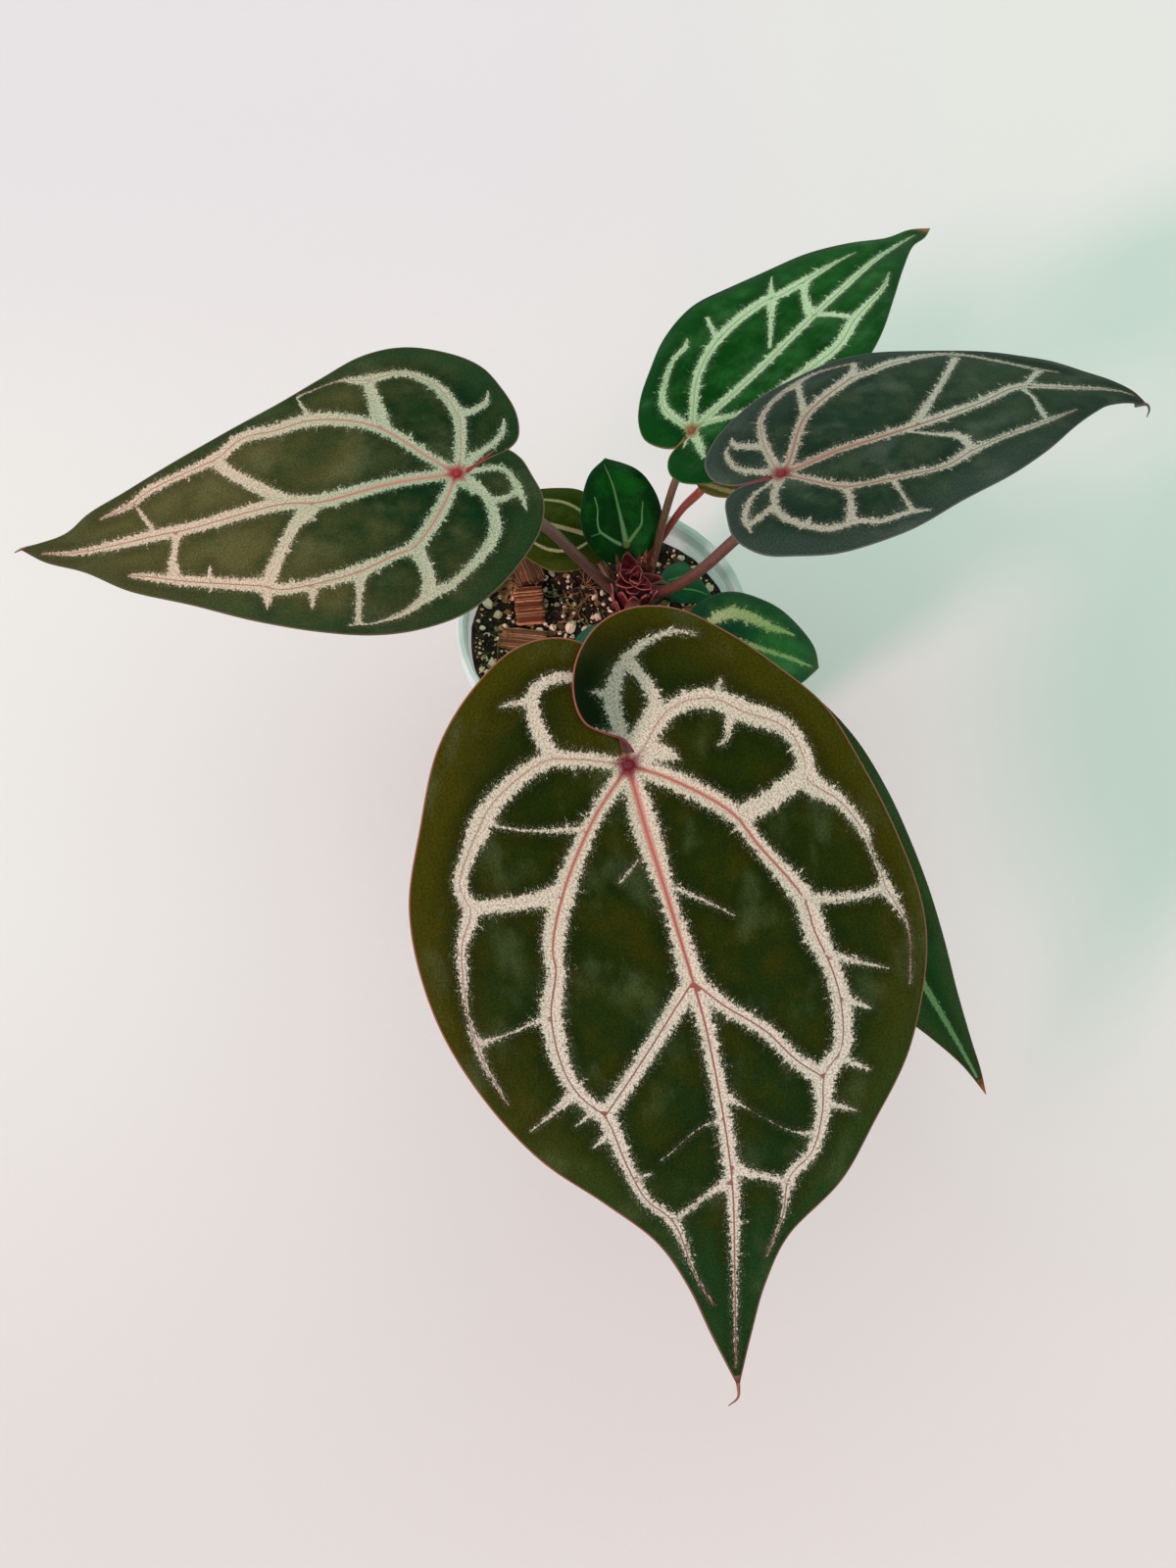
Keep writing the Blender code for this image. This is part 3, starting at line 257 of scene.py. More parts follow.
        right=[(27, -4.8), (24, -8.6), (20, -11.2), (12, -13.6), (5, -13), (-2, -9), (-5, -5), (-5, -2),
            (-2, -1)],
        veins=[
            (FIRST, [(0, 0, 0.7), (7, 0, 0.7), (14, 0, 0.6), (21, 0, 0.4), (28, 1, 0.2)]),
            (MAIN, [(1, 2, 0.5), (4, 5, 0.5), (8, 8, 0.5), (11, 8, 0.4), (15, 7, 0.3), (19, 7, 0.2)]),
            (SIDE, [(7, 11, 0.2), (7, 8, 0.3)]),
            (MAIN, [(1, -1, 0.5), (4, -4, 0.5), (6, -6, 0.5), (10, -7, 0.4), (13, -8, 0.2)])]),
    "olive_left": dict(
        joint=(-2.9, 26.8, 99), tip=(-43, 36, 100), roll=0, close=1, seam=-180, arch=2, cup=1, drop=2,
        wave=0.3, turns=2, overlap=0, step=1.1,
        left=[(-2, 1), (-5, 3), (-4, 9), (2, 14), (9, 17), (17, 16), (26, 12), (34, 7)],
        right=[(34, -7), (26, -12), (17, -16), (9, -17), (2, -14), (-4, -9), (-5, -3), (-2, -1)],
        veins=[
            (FIRST, [(0, 0, 0.7), (12, 0, 0.8), (24, 0, 0.6), (36, 0, 0.3)]),
            (SIDE, [(0, 0, 0.4), (5, 7, 0.5), (13, 10, 0.6), (22, 8, 0.4)], [(0, 0, 0.4), (5, -7, 0.5),
            (13, -10, 0.6), (22, -9, 0.5)])]),
    "small_right": dict(
        joint=(20, 14.7, 90), tip=(37.4, 9.7, 88), roll=0, close=1, seam=-180, arch=1, cup=0, drop=2,
        wave=0, turns=1, overlap=0, step=0.8,
        left=[(-1, 3), (0, 7), (2, 10), (5, 12), (8, 10), (12, 6), (16, 2)],
        right=[(16, -2), (11, -5), (6, -6), (1, -4), (-2, -1)],
        veins=[
            (MAIN, [(0, 0, 0.4), (6, -1, 0.4), (12, 0, 0.3), (16, 0, 0.2)]),
            (SIDE, [(2, 1, 0.3), (6, 4, 0.3), (9, 6, 0.2)])]),
    "side_right": dict(
        joint=(31.7, -14.1, 102), tip=(70.9, -22.3, 95), roll=0, close=1, seam=-180, arch=3, cup=1, drop=2,
        wave=0.4, turns=2, overlap=0, step=1,
        left=[(-2, 2), (-5, 6), (-4, 11), (0, 15), (4, 18), (11, 20), (19, 18), (27, 15), (33, 11),
            (38, 6)],
        right=[(39, -3), (35, -9), (28, -14), (16, -18), (4, -16), (-4, -10), (-5, -4), (-2, -1)],
        veins=[
            (OUTER, [(0, 0, 0.6), (12, 0, 0.7), (22, -1, 0.8), (31, -1, 0.7), (38, -1, 0.3)]),
            (SIDE, [(0, 2, 0.8), (4, 7, 1.8), (8, 10, 2.3), (14, 10, 2), (21, 8, 1.6), (30, 8, 0.3)],
            [(5, 8, 1.2), (9, 14, 0.3)], [(0, 0, 0.4), (5, -7, 0.6), (12, -10, 0.7), (22, -9, 0.5)])]),
    "long_right": dict(
        joint=(43.8, -60.5, 128), tip=(117.3, -159.9, 70), roll=0, close=1, seam=-180, arch=6, cup=1,
        drop=3, wave=0.7, turns=3, overlap=0, step=1.7,
        left=[(-3, 2), (-9, 4), (-10, 11), (-3, 19), (9, 23), (24, 25), (40, 24), (56, 21.4), (72, 18),
            (88, 13.4), (104, 8.3), (120, 4.2), (129, 2.3)],
        right=[(124, -2.3), (111, -6.8), (98, -12), (80, -17), (58, -21), (36, -24), (12, -23), (-3, -18),
            (-10, -11), (-9, -4), (-3, -2)],
        veins=[
            (FIRST, [(0, 0, 1.5), (20, 0, 1.5), (45, 0, 1.4), (75, 0, 1.2), (100, 0, 1), (130, 0, 0.4)]),
            (SIDE, [(0, 0, 1), (14, 11, 1.2), (34, 15, 1.2), (58, 13, 0.9), (84, 9, 0.2)], [(0, 0, 1),
            (14, -11, 1.2), (34, -15, 1.2), (58, -13, 0.9), (84, -9, 0.2)], [(40, 0, 1), (58, 13, 0.8)],
            [(40, 0, 1), (58, -13, 0.8)])]),
    "under_right": dict(
        joint=(31.7, 28.9, 127), tip=(94.1, 62, 129), roll=0, close=1, seam=-180, arch=3, cup=1, drop=2,
        wave=0.4, turns=2, overlap=0, step=1.3,
        left=[(-1.5, 2), (-4, 5), (-2, 9), (6, 13), (18, 16), (34, 15), (50, 10), (62, 5)],
        right=[(62, -5), (50, -10), (34, -16), (18, -16.5), (6, -11), (1, -7), (-1.5, -3)],
        veins=[
            (MAIN, [(0, 0, 0.9), (16, 0, 1), (40, 0, 0.8), (62, 0, 0.4)]),
            (SIDE, [(0, 0, 0.7), (8, 9, 0.8), (22, 10, 0.6), (36, 7, 0.3)], [(0, 0, 0.7), (8, -10, 0.8),
            (22, -11, 0.6), (36, -7, 0.3)])]),
    "small_front": dict(
        joint=(1.4, -1.9, 85), tip=(-11.2, -18.5, 84), roll=0, close=1, seam=-180, arch=1, cup=0, drop=1,
        wave=0, turns=1, overlap=0, step=0.9,
        left=[(-2, 1), (-1, 4), (5, 7), (12, 6), (18, 2)],
        right=[(18, -2), (12, -6), (6, -7), (0, -5), (-2, -1)],
        veins=[
            (MAIN, [(0, 0, 0.4), (8, 0, 0.4), (17, 0, 0.2)])]),
}

# Colours as seen, red, green and blue of 255: the ground near the joint and towards the tip, its
# warm patches, edge zone and painted sheen patches, the pale band near the joint and far from it,
# the flush beside a midline and its thin line, the joint, the thin margin, the tip and the underside.
# Then the width of the band's feathered edge and of the edge zone in millimetres, and the
# roughness. A rim is the radius of the bead round the blade, and a hook the way its tip curls,
# forwards, to the left and up from the tip. A turn says between which shares of the length the
# ground changes colour, haze how much the painted sheen patches show, narrow by how much the pale
# bands are drawn in, and gloss how shiny the blade is. A fold is painted shade: it darkens the
# ground and the bands of a lobe that lies over another one, most near the lobe's edge.
LOOKS = {
    "front": dict(
        near=(26, 37, 3), far=(22, 44, 14), warm=(46, 46, 2), edge=(58, 54, 4), edge_far=(28, 56, 24),
        sheen_patch=(70, 80, 48), band_near=(220, 206, 186), band_far=(223, 211, 195), flush=(186, 104, 92),
        line=(112, 58, 50), core=(104, 24, 38), margin=(150, 92, 74), tip=(64, 54, 26), under=(96, 76, 50),
        feather=1, narrow=0.6, edge_zone=13, rough=0.6, fold=(0, 17, 3), fold_band_shade=(126, 138, 124),
        rim=0.17, haze=0.5, hook=[(-4, 0, 0), (0, 0, -0.3), (3.6, -0.6, -1.2), (5.6, -3.4, -2)]),
    # The left leaf's far ground, which its turn reaches early, is lighter: partly its own colour and
    # partly painted sheen on the curved middle of the blade.
    "left": dict(
        near=(14, 44, 20), far=(84, 80, 45), warm=(56, 62, 32), edge=(34, 58, 32), edge_far=(62, 66, 36),
        turn=(0.1, 0.52), sheen_patch=(88, 94, 66), band_near=(184, 194, 165), band_far=(226, 202, 179),
        flush=(190, 140, 126), line=(150, 100, 88), core=(150, 40, 52), margin=(96, 84, 60),
        tip=(60, 50, 32), under=(90, 96, 62), feather=0.95, narrow=0.15, edge_zone=8, rough=0.55, rim=0.22,
        hook=[(-4, 0, 0), (0, 0, 0), (2.4, 0.3, -0.8)]),
    "right": dict(
        near=(26, 46, 32), far=(42, 60, 42), warm=(56, 68, 48), edge=(50, 62, 56), edge_far=(30, 46, 34),
        sheen_patch=(90, 98, 86), band_near=(188, 178, 161), band_far=(201, 195, 180), flush=(160, 116, 100),
        line=(118, 82, 72), core=(120, 34, 46), margin=(86, 88, 80), tip=(60, 46, 38), under=(86, 96, 70),
        feather=1.05, narrow=0.2, edge_zone=10, rough=0.5, rim=0.2,
        hook=[(-4, 0.8, 0), (0, 0, 0), (0, -1.6, -0.6), (-2.2, -4, -1.6)]),
    "back": dict(
        near=(0, 54, 4), far=(6, 70, 10), warm=(32, 90, 34), edge=(6, 58, 16), sheen_patch=(74, 124, 76),
        band_near=(186, 211, 171), band_far=(202, 222, 183), flush=(156, 176, 136), line=(100, 132, 82),
        core=(128, 84, 48), margin=(50, 84, 40), tip=(184, 100, 36), under=(70, 110, 60), feather=1,
        narrow=0.25, edge_zone=8, haze=0.25, rough=0.45, tip_length=7, rim=0.16),
    "centre": dict(
        near=(2, 60, 10), far=(0, 50, 6), warm=(20, 104, 26), edge=(0, 48, 10), sheen_patch=(60, 120, 66),
        band_near=(110, 150, 100), band_far=(70, 124, 66), flush=(124, 160, 108), line=(124, 160, 108),
        core=(110, 120, 60), margin=(30, 66, 28), tip=(30, 66, 28), under=(50, 90, 40), feather=0.12,
        narrow=0.15, edge_zone=5, rough=0.35, gloss=0.08),
    "olive_left": dict(
        near=(36, 57, 4), far=(52, 68, 8), warm=(74, 78, 20), edge=(54, 64, 10), sheen_patch=(110, 116, 60),
        band_near=(196, 184, 138), band_far=(190, 180, 132), flush=(176, 150, 118), line=(168, 144, 110),
        core=(150, 120, 80), margin=(110, 96, 56), tip=(80, 90, 40), under=(96, 104, 50), feather=0.2,
        edge_zone=5, rough=0.5),
    "small_right": dict(
        near=(16, 104, 44), far=(14, 92, 52), warm=(34, 116, 54), edge=(12, 84, 56), sheen_patch=(60, 130, 80),
        band_near=(90, 160, 100), band_far=(90, 160, 100), flush=(104, 164, 106), line=(104, 164, 106),
        core=(90, 120, 60), margin=(34, 96, 52), tip=(34, 96, 52), under=(50, 110, 60), feather=0.12,
        edge_zone=4, rough=0.4, gloss=0.15),
    "side_right": dict(
        near=(16, 72, 44), far=(40, 112, 46), warm=(58, 126, 56), edge=(16, 70, 38), sheen_patch=(80, 140, 84),
        band_near=(214, 226, 166), band_far=(170, 204, 130), flush=(150, 186, 126), line=(150, 186, 126),
        core=(110, 130, 80), margin=(50, 92, 56), tip=(60, 90, 50), under=(60, 100, 60), feather=1.4,
        edge_zone=6, rough=0.42, gloss=0.12),
    "long_right": dict(
        near=(24, 54, 22), far=(28, 60, 24), warm=(44, 68, 34), edge=(46, 62, 30), sheen_patch=(50, 80, 50),
        band_near=(120, 150, 110), band_far=(110, 146, 98), flush=(150, 170, 128), line=(90, 120, 76),
        core=(150, 120, 90), margin=(104, 70, 50), tip=(166, 84, 44), under=(70, 90, 54), feather=0.5,
        edge_zone=5, rough=0.5, tip_length=6),
    "under_right": dict(
        near=(70, 88, 24), far=(76, 92, 26), warm=(92, 102, 34), edge=(78, 88, 28), sheen_patch=(110, 120, 60),
        band_near=(156, 164, 108), band_far=(156, 164, 108), flush=(166, 156, 110), line=(166, 156, 110),
        core=(150, 110, 70), margin=(120, 104, 58), tip=(90, 90, 40), under=(96, 104, 50), feather=0.3,
        edge_zone=5, rough=0.5),
    "small_front": dict(
        near=(28, 92, 74), far=(24, 84, 66), warm=(40, 104, 84), edge=(26, 84, 68), sheen_patch=(70, 130, 104),
        band_near=(90, 150, 120), band_far=(90, 150, 120), flush=(104, 156, 118), line=(104, 156, 118),
        core=(90, 120, 60), margin=(44, 92, 74), tip=(44, 92, 74), under=(50, 100, 70), feather=0.12,
        edge_zone=4, rough=0.4, gloss=0.15),
}

# Each stalk as in the part, then its colour near the crown and near the blade.
STALKS = {
    "front": dict(
        turn=-95, height=96.5, radius=2, square=9,
        via=[(10, -5, 104), (9, -30, 133), (7, -60, 158), (5, -84, 173)], low=(104, 52, 46),
        high=(128, 78, 66)),
    "left": dict(
        turn=180, height=96.5, radius=1.85, square=9,
        via=[(0, 8, 100), (-10, 6, 120), (-19, 4, 138), (-32, 3, 153)], low=(84, 48, 40),
        high=(108, 76, 64)),
    "right": dict(
        turn=-15, height=96.5, radius=1.85, square=9,
        via=[(21, 4, 101), (31, 0, 119), (41, -1, 138), (47, -4, 153)], low=(86, 48, 40),
        high=(104, 68, 56)),
    "back": dict(
        turn=50, height=96, radius=1.3, square=8, via=[(17, 16.5, 102), (20, 21.5, 120), (24.4, 28, 134)],
        low=(96, 50, 38), high=(112, 84, 48)),
    "centre": dict(
        turn=110, height=95.5, radius=0.95, square=3, via=[(7.6, 16.6, 100)], low=(84, 70, 34),
        high=(90, 90, 40)),
    "olive_left": dict(
        turn=147, height=88, radius=1.3, square=4, via=[(1.5, 16, 91)], low=(92, 66, 38),
        high=(96, 84, 44)),
    "small_right": dict(
        turn=18, height=85.5, radius=0.9, square=2, via=[(19, 12, 87)], low=(90, 80, 36),
        high=(96, 110, 44)),
    "side_right": dict(
        turn=-38, height=86.5, radius=1.4, square=5, via=[(20, 0, 90), (27, -8, 94)], low=(92, 60, 40),
        high=(92, 92, 48)),
    "long_right": dict(
        turn=-62, height=92.5, radius=1.7, square=8, via=[(17, -5, 99), (26, -25, 113), (35, -45, 119)],
        low=(100, 54, 42), high=(110, 80, 56)),
    "under_right": dict(
        turn=80, height=91, radius=1.25, square=4,
        via=[(14.3, 18.6, 96), (20.5, 21.9, 108.5), (26, 24.8, 118.5)], low=(132, 42, 28),
        high=(160, 62, 44)),
    "small_front": dict(
        turn=-138, height=83.4, radius=0.85, square=1.5, via=[(3.6, 0.7, 81.9)], low=(84, 70, 40),
        high=(84, 90, 50)),
}
# A stalk's sides, the knee under its blade, its ridges and the colour of its specks.
STALK_SIDES = 20
KNEE_LENGTH = 9.0
KNEE_SWELL = 1.18
STALK_RIDGES = 0.025
STALK_SPECKS = (170, 128, 116)
# Gloss of a blade whose look names none.
GLOSS = 0.03

# The thin bead round a blade: its sides, how far it lies below the edge, the share of the length
# where it swells near the joint and by how much, and the joint's knob as a share of the length.
BEAD_SIDES = 8
BEAD_SINK = 0.15
BEAD_CLOSE = 0.16
BEAD_SWELL = 1.3
JOINT_SHARE = 0.008

# Colours of the pot, the mix and the crown as seen, the darker one first.
POT_TINTS = ((210, 238, 228), (228, 248, 240))
SOIL_TINTS = ((3, 3, 1), (58, 42, 18))
SOIL_STRAW = (150, 122, 80)
# The white grains are tinted cream: partly their own colour and partly painted warm light for the sunlight
# that the leaves keep off them.
WHITE_AND_LIT_TINTS = ((236, 218, 172), (255, 250, 228))
FIBRE_TINTS = ((104, 74, 40), (198, 160, 100))
SCALE_TINTS = ((46, 6, 12), (106, 28, 38))
SCALE_EDGE = (180, 98, 92)
# The stub's colour is painted shade: it shows as the dark gaps between the scales.
STUB_SHADE = (34, 6, 8)
PAPER_TINTS = ((84, 46, 30), (150, 104, 76))

# The camera, the floor and the light.
CAMERA_AT = (-5.3, -327.8, 609.9)
CAMERA_AHEAD = (0.0, 0.454, -0.891)
CAMERA_LENS = 41.6
CAMERA_SENSOR = 36
FLOOR_COLOUR = (235, 229, 228)
FLOOR_GRADE = 260 * MM
# Painted shade where the lamp's light falls off on the backdrop: axis, where the shade starts and
# is full, in grades, and its colour: far, right and near.
FLOOR_FALLOFF_SHADES = ((1, 0.2, 1.3, (225, 217, 222)), (0, -0.3, 0.8, (222, 221, 219)),
                (1, -0.2, -1.1, (225, 214, 214)))
FLOOR_HALF = 3.0
FLOOR_DROP = 0.2 * MM
KEY_TURN = 222.0
KEY_RISE = 30.0
KEY_ANGLE = 9.0
KEY_STRENGTH = 1.75
KEY_COLOUR = (1.0, 0.45, 0.68)
FILL_COLOUR = (0.63, 0.78, 0.7)
FILL_STRENGTH = 1.26


def linear(colour):
    """Red, green and blue of 255, as they look on a screen, to the renderer's values."""
    parts = [c / 255 for c in colour]
    return tuple(p / 12.92 if p < 0.04045 else ((p + 0.055) / 1.055) ** 2.4 for p in parts) + (1.0,)


class Shader:
    """Short helper that adds and joins the nodes of one material."""

    def __init__(self, name):
        self.mat = bpy.data.materials.new(name)
        self.mat.use_nodes = True
        self.tree = self.mat.node_tree
        self.out = self.tree.nodes["Principled BSDF"]

    def put(self, kind, inputs=None, **settings):
        node = self.tree.nodes.new(kind)
        for key, value in settings.items():
            setattr(node, key, value)
        for key, value in (inputs or {}).items():
            self.join(value, node.inputs[key])
        return node

    def join(self, value, socket):
        if isinstance(value, bpy.types.NodeSocket):
            self.tree.links.new(value, socket)
        else:
            socket.default_value = value

    def set(self, **values):
        for key, value in values.items():
            self.join(value, self.out.inputs[key.replace("_", " ")])

    def number(self, name):
        return self.put("ShaderNodeAttribute", attribute_name=name).outputs["Fac"]

    def vector(self, name):
        return self.put("ShaderNodeAttribute", attribute_name=name).outputs["Vector"]

    def place(self):
        return self.put("ShaderNodeTexCoord").outputs["Object"]

    def math(self, operation, a, b):
        return self.put("ShaderNodeMath", {0: a, 1: b}, operation=operation).outputs[0]

    def plus(self, a, b):
        return self.math("ADD", a, b)

    def minus(self, a, b):
        return self.math("SUBTRACT", a, b)

    def times(self, a, b):
        return self.math("MULTIPLY", a, b)

    def noise(self, where, scale, detail=3.0, rough=0.5, stretch=None):
        if stretch:
            node = self.put("ShaderNodeVectorMath", {0: where, 1: stretch}, operation="MULTIPLY")
            where = node.outputs[0]
        inputs = {"Vector": where, "Scale": scale, "Detail": detail, "Roughness": rough}
        return self.put("ShaderNodeTexNoise", inputs).outputs["Fac"]

    def step(self, value, start, end, low=0.0, high=1.0):
        """Smooth change from low at start to high at end."""
        inputs = {"Value": value, "From Min": start, "From Max": end, "To Min": low, "To Max": high}
        return self.put("ShaderNodeMapRange", inputs, interpolation_type="SMOOTHSTEP").outputs[0]

    def blend(self, share, first, second, kind="MIX"):
        """Mix of two colours, each a socket or red, green and blue of 255."""
        node = self.put("ShaderNodeMix", data_type="RGBA", blend_type=kind)
        for place, value in ((0, share), (6, first), (7, second)):
            self.join(linear(value) if isinstance(value, tuple) else value, node.inputs[place])
        return node.outputs[2]

    def ramp(self, value, start, end, colours):
        """Colour that goes from the first of two at start to the second at end."""
        return self.blend(self.step(value, start, end), *colours)

    def bump(self, height, strength, distance=0.3 * MM):
        node = self.put("ShaderNodeBump", {"Height": height, "Strength": strength, "Distance": distance})
        self.join(node.outputs[0], self.out.inputs["Normal"])


def smooth_path(points, step):
    """Points about one step apart on a smooth curve through the given ones."""
    knots = [np.array(p, float) for p in points]
    knots = [2 * knots[0] - knots[1]] + knots + [2 * knots[-1] - knots[-2]]
    curve = [knots[1]]
    for a, b, c, d in zip(knots, knots[1:], knots[2:], knots[3:]):
        before, across, after = (math.sqrt(max(np.linalg.norm(q - p), 1e-6))
                                 for p, q in ((a, b), (b, c), (c, d)))
        leave = (c - b) - (across / (before + across)) * (c - a) + (across / before) * (b - a)
        arrive = (c - b) - (across / (across + after)) * (d - b) + (across / after) * (d - c)
        pieces = 12
        for i in range(1, pieces + 1):
            t = i / pieces
            curve.append((2 * t**3 - 3 * t**2 + 1) * b + (t**3 - 2 * t**2 + t) * leave
                         + (3 * t**2 - 2 * t**3) * c + (t**3 - t**2) * arrive)
    curve = np.array(curve)
    along = np.concatenate([[0], np.cumsum(np.linalg.norm(np.diff(curve, axis=0), axis=1))])
    count = max(2, round(along[-1] / step) + 1)
    places = np.linspace(0, along[-1], count)
    return np.column_stack([np.interp(places, along, curve[:, i]) for i in range(curve.shape[1])])


def smooth_step(value):
    value = np.clip(value, 0.0, 1.0)
    return value * value * (3 - 2 * value)


def leaf_frame(leaf):
    """Joint, directions along the midrib, to the left and up off the blade, and length."""
    joint = np.array(leaf["joint"], float)
    along = np.array(leaf["tip"], float) - joint
    length = np.linalg.norm(along)
    along = along / length
    level = np.cross((0, 0, 1), along)
    level /= np.linalg.norm(level)
    up = np.cross(along, level)
    roll = math.radians(leaf["roll"])
    left = level * math.cos(roll) + up * math.sin(roll)
    up = up * math.cos(roll) - level * math.sin(roll)
    return joint, along, left, up, length


def blade_places(leaf, frame, flat):
    """Where points of the flat pattern lie in space."""
    joint, along, left, up, length = frame
    turn = leaf["seam"] + (np.degrees(np.arctan2(flat[:, 1], flat[:, 0])) - leaf["seam"]) % 360
    angle = np.radians(turn / leaf["close"])
    reach = np.hypot(flat[:, 0], flat[:, 1])
    forward = reach * np.cos(angle)
    aside = reach * np.sin(angle)
    t = forward / length
    w = np.abs(aside) / (HALF_WIDTH_SHARE * length)
    height = leaf["arch"] * np.where(t > 0, 4 * t * (1 - t), BACK_FALL * t)
    height += 2.7 * leaf["cup"] * w * np.exp(-w) - leaf["drop"] * w * w / (1 + 0.5 * w)
    side = np.where(angle > 0, 1, -1)
    height += leaf["wave"] * np.minimum(w, 1.3) ** 2 * np.sin(2 * math.pi * leaf["turns"] * t + side)
    over = smooth_step((np.degrees(angle) - OVERLAP_FROM) / (OVERLAP_FULL - OVERLAP_FROM))
    height += leaf["overlap"] * reach / (1 + reach / 100) * over
    places = joint + along * forward[:, None] + left * aside[:, None] + up * height[:, None]
    return places, over


def inside(outline, places):
    """True for the places within the closed outline."""
    hit = np.zeros(len(places), bool)
    for (x0, y0), (x1, y1) in zip(outline, np.roll(outline, -1, axis=0)):
        if y0 != y1:
            spans = (y0 > places[:, 1]) != (y1 > places[:, 1])
            hit ^= spans & (places[:, 0] < (x1 - x0) * (places[:, 1] - y0) / (y1 - y0) + x0)
    return hit


def nearest(places, kept):
    """Distance from each place to the nearest kept point."""
    found = np.empty(len(places))
    for start in range(0, len(places), 500):
        part = places[start:start + 500]
        gaps = np.hypot(part[:, None, 0] - kept[None, :, 0], part[:, None, 1] - kept[None, :, 1])
        found[start:start + 500] = gaps.min(axis=1)
    return found


def fill_points(outline, kept, step, margin):
    """Points of a honeycomb inside the outline, clear of the kept ones."""
    low, high = outline.min(axis=0), outline.max(axis=0)
    row_height = step * math.sqrt(0.75)
    rows = np.arange(int((high[1] - low[1]) / row_height) + 1)
    columns = np.arange(int((high[0] - low[0]) / step) + 2)
    row, column = np.meshgrid(rows, columns, indexing="ij")
    grid = np.column_stack([(low[0] + (column + 0.5 * (row % 2)) * step).ravel(),
                            (low[1] + (row + 0.5) * row_height).ravel()])
    grid = grid[inside(outline, grid)]
    return grid[nearest(grid, kept) > margin]


def all_veins(leaf):
    """Every vein's rank and points, in order."""
    return [(rank, vein) for rank, *veins in leaf["veins"] for vein in veins]


def blade_pattern(leaf, length):
    """Triangles of the flat blade, with an edge along every vein."""
    step = leaf["step"]
    left = smooth_path(leaf["left"] + [(length, 0)], step)
    right = smooth_path([(length, 0)] + leaf["right"], step)
    outline = np.vstack([left, right[1:]])
    flat = [tuple(p) for p in outline]
    edges = [(i, (i + 1) % len(flat)) for i in range(len(flat))]
    for _, vein in all_veins(leaf):
        line = smooth_path([p[:2] for p in vein], VEIN_STEP * step)
        line = line[inside(outline, line)]
        clear = nearest(line, np.array(flat)) > VEIN_CLEAR * step
        start = len(flat)
        flat.extend(tuple(p) for p in line[clear])
        edges.extend((i, i + 1) for i in range(start, len(flat) - 1))
    kept = np.array(flat)
    flat.extend(tuple(p) for p in fill_points(outline, kept, step, FILL_CLEAR * step))
    points, _, faces, _, _, _ = delaunay_2d_cdt([Vector(p) for p in flat], edges, [], 0, 1e-4, False)
    points = np.array([tuple(p) for p in points])
    faces = np.array(faces)
    faces = faces[inside(outline, points[faces].mean(axis=1))]
    used, renamed = np.unique(faces, return_inverse=True)
    return points[used], renamed.reshape(faces.shape), outline


def vein_fields(leaf, flat):
    """Per point: distance outside the pale bands and to a midline, the midline's rank, and the
    place along and across the nearest band and half its width."""
    band, middle = np.full((2, len(flat)), 1e3)
    force, along, across, wide = np.zeros((4, len(flat)))
    for number, (strength, vein) in enumerate(all_veins(leaf)):
        line = smooth_path(vein, 2.0 * leaf["step"])
        run = VEIN_SHIFT * number
        for (x0, y0, w0), (x1, y1, w1) in zip(line, line[1:]):
            dx, dy = x1 - x0, y1 - y0
            size = math.hypot(dx, dy)
            t = np.clip(((flat[:, 0] - x0) * dx + (flat[:, 1] - y0) * dy) / size ** 2, 0, 1)
            gap = np.hypot(flat[:, 0] - x0 - t * dx, flat[:, 1] - y0 - t * dy)
            half = w0 + (w1 - w0) * t
            side = (dx * (flat[:, 1] - y0) - dy * (flat[:, 0] - x0)) / size
            outside = gap - half
            closer = outside < band
            along[closer] = (run + t * size)[closer]
            across[closer] = np.clip(side, -1, 1)[closer]
            wide[closer] = half[closer]
            band = np.minimum(band, outside)
            closer = gap < middle
            force[closer] = strength
            middle = np.minimum(middle, gap)
            run += size
    return band, middle, force, along, across, wide


def rim_edges(faces):
    """Edges that only one triangle has, each in that triangle's direction."""
    edges = np.vstack([faces[:, [0, 1]], faces[:, [1, 2]], faces[:, [2, 0]]])
    ways = set(map(tuple, edges))
    return [edge for edge in map(tuple, edges) if (edge[1], edge[0]) not in ways]


def add_body(verts, faces, body, skin):
    """Puts one more body's points and faces into the lists of a piece."""
    faces.extend(tuple(i + len(verts) for i in f) for f in skin)
    verts.extend(body)


def add_numbers(mesh, name, values):
    mesh.attributes.new(name, "FLOAT", "POINT").data.foreach_set("value", np.asarray(values, "f"))


def add_vectors(mesh, name, values):
    mesh.attributes.new(name, "FLOAT_VECTOR", "POINT").data.foreach_set(
        "vector", np.asarray(values, "f").ravel())


def new_piece(name, verts, faces, material, nodes):
    """One visible piece from points in millimetres, standing for CAD nodes."""
    mesh = bpy.data.meshes.new(name)
    mesh.from_pydata([tuple(v) for v in np.asarray(verts) * MM], [], [tuple(f) for f in faces])
    mesh.shade_smooth()
    mesh.materials.append(material)
    piece = bpy.data.objects.new(name, mesh)
    bpy.context.scene.collection.objects.link(piece)
    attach(piece, "root")
    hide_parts(*nodes)
    return piece


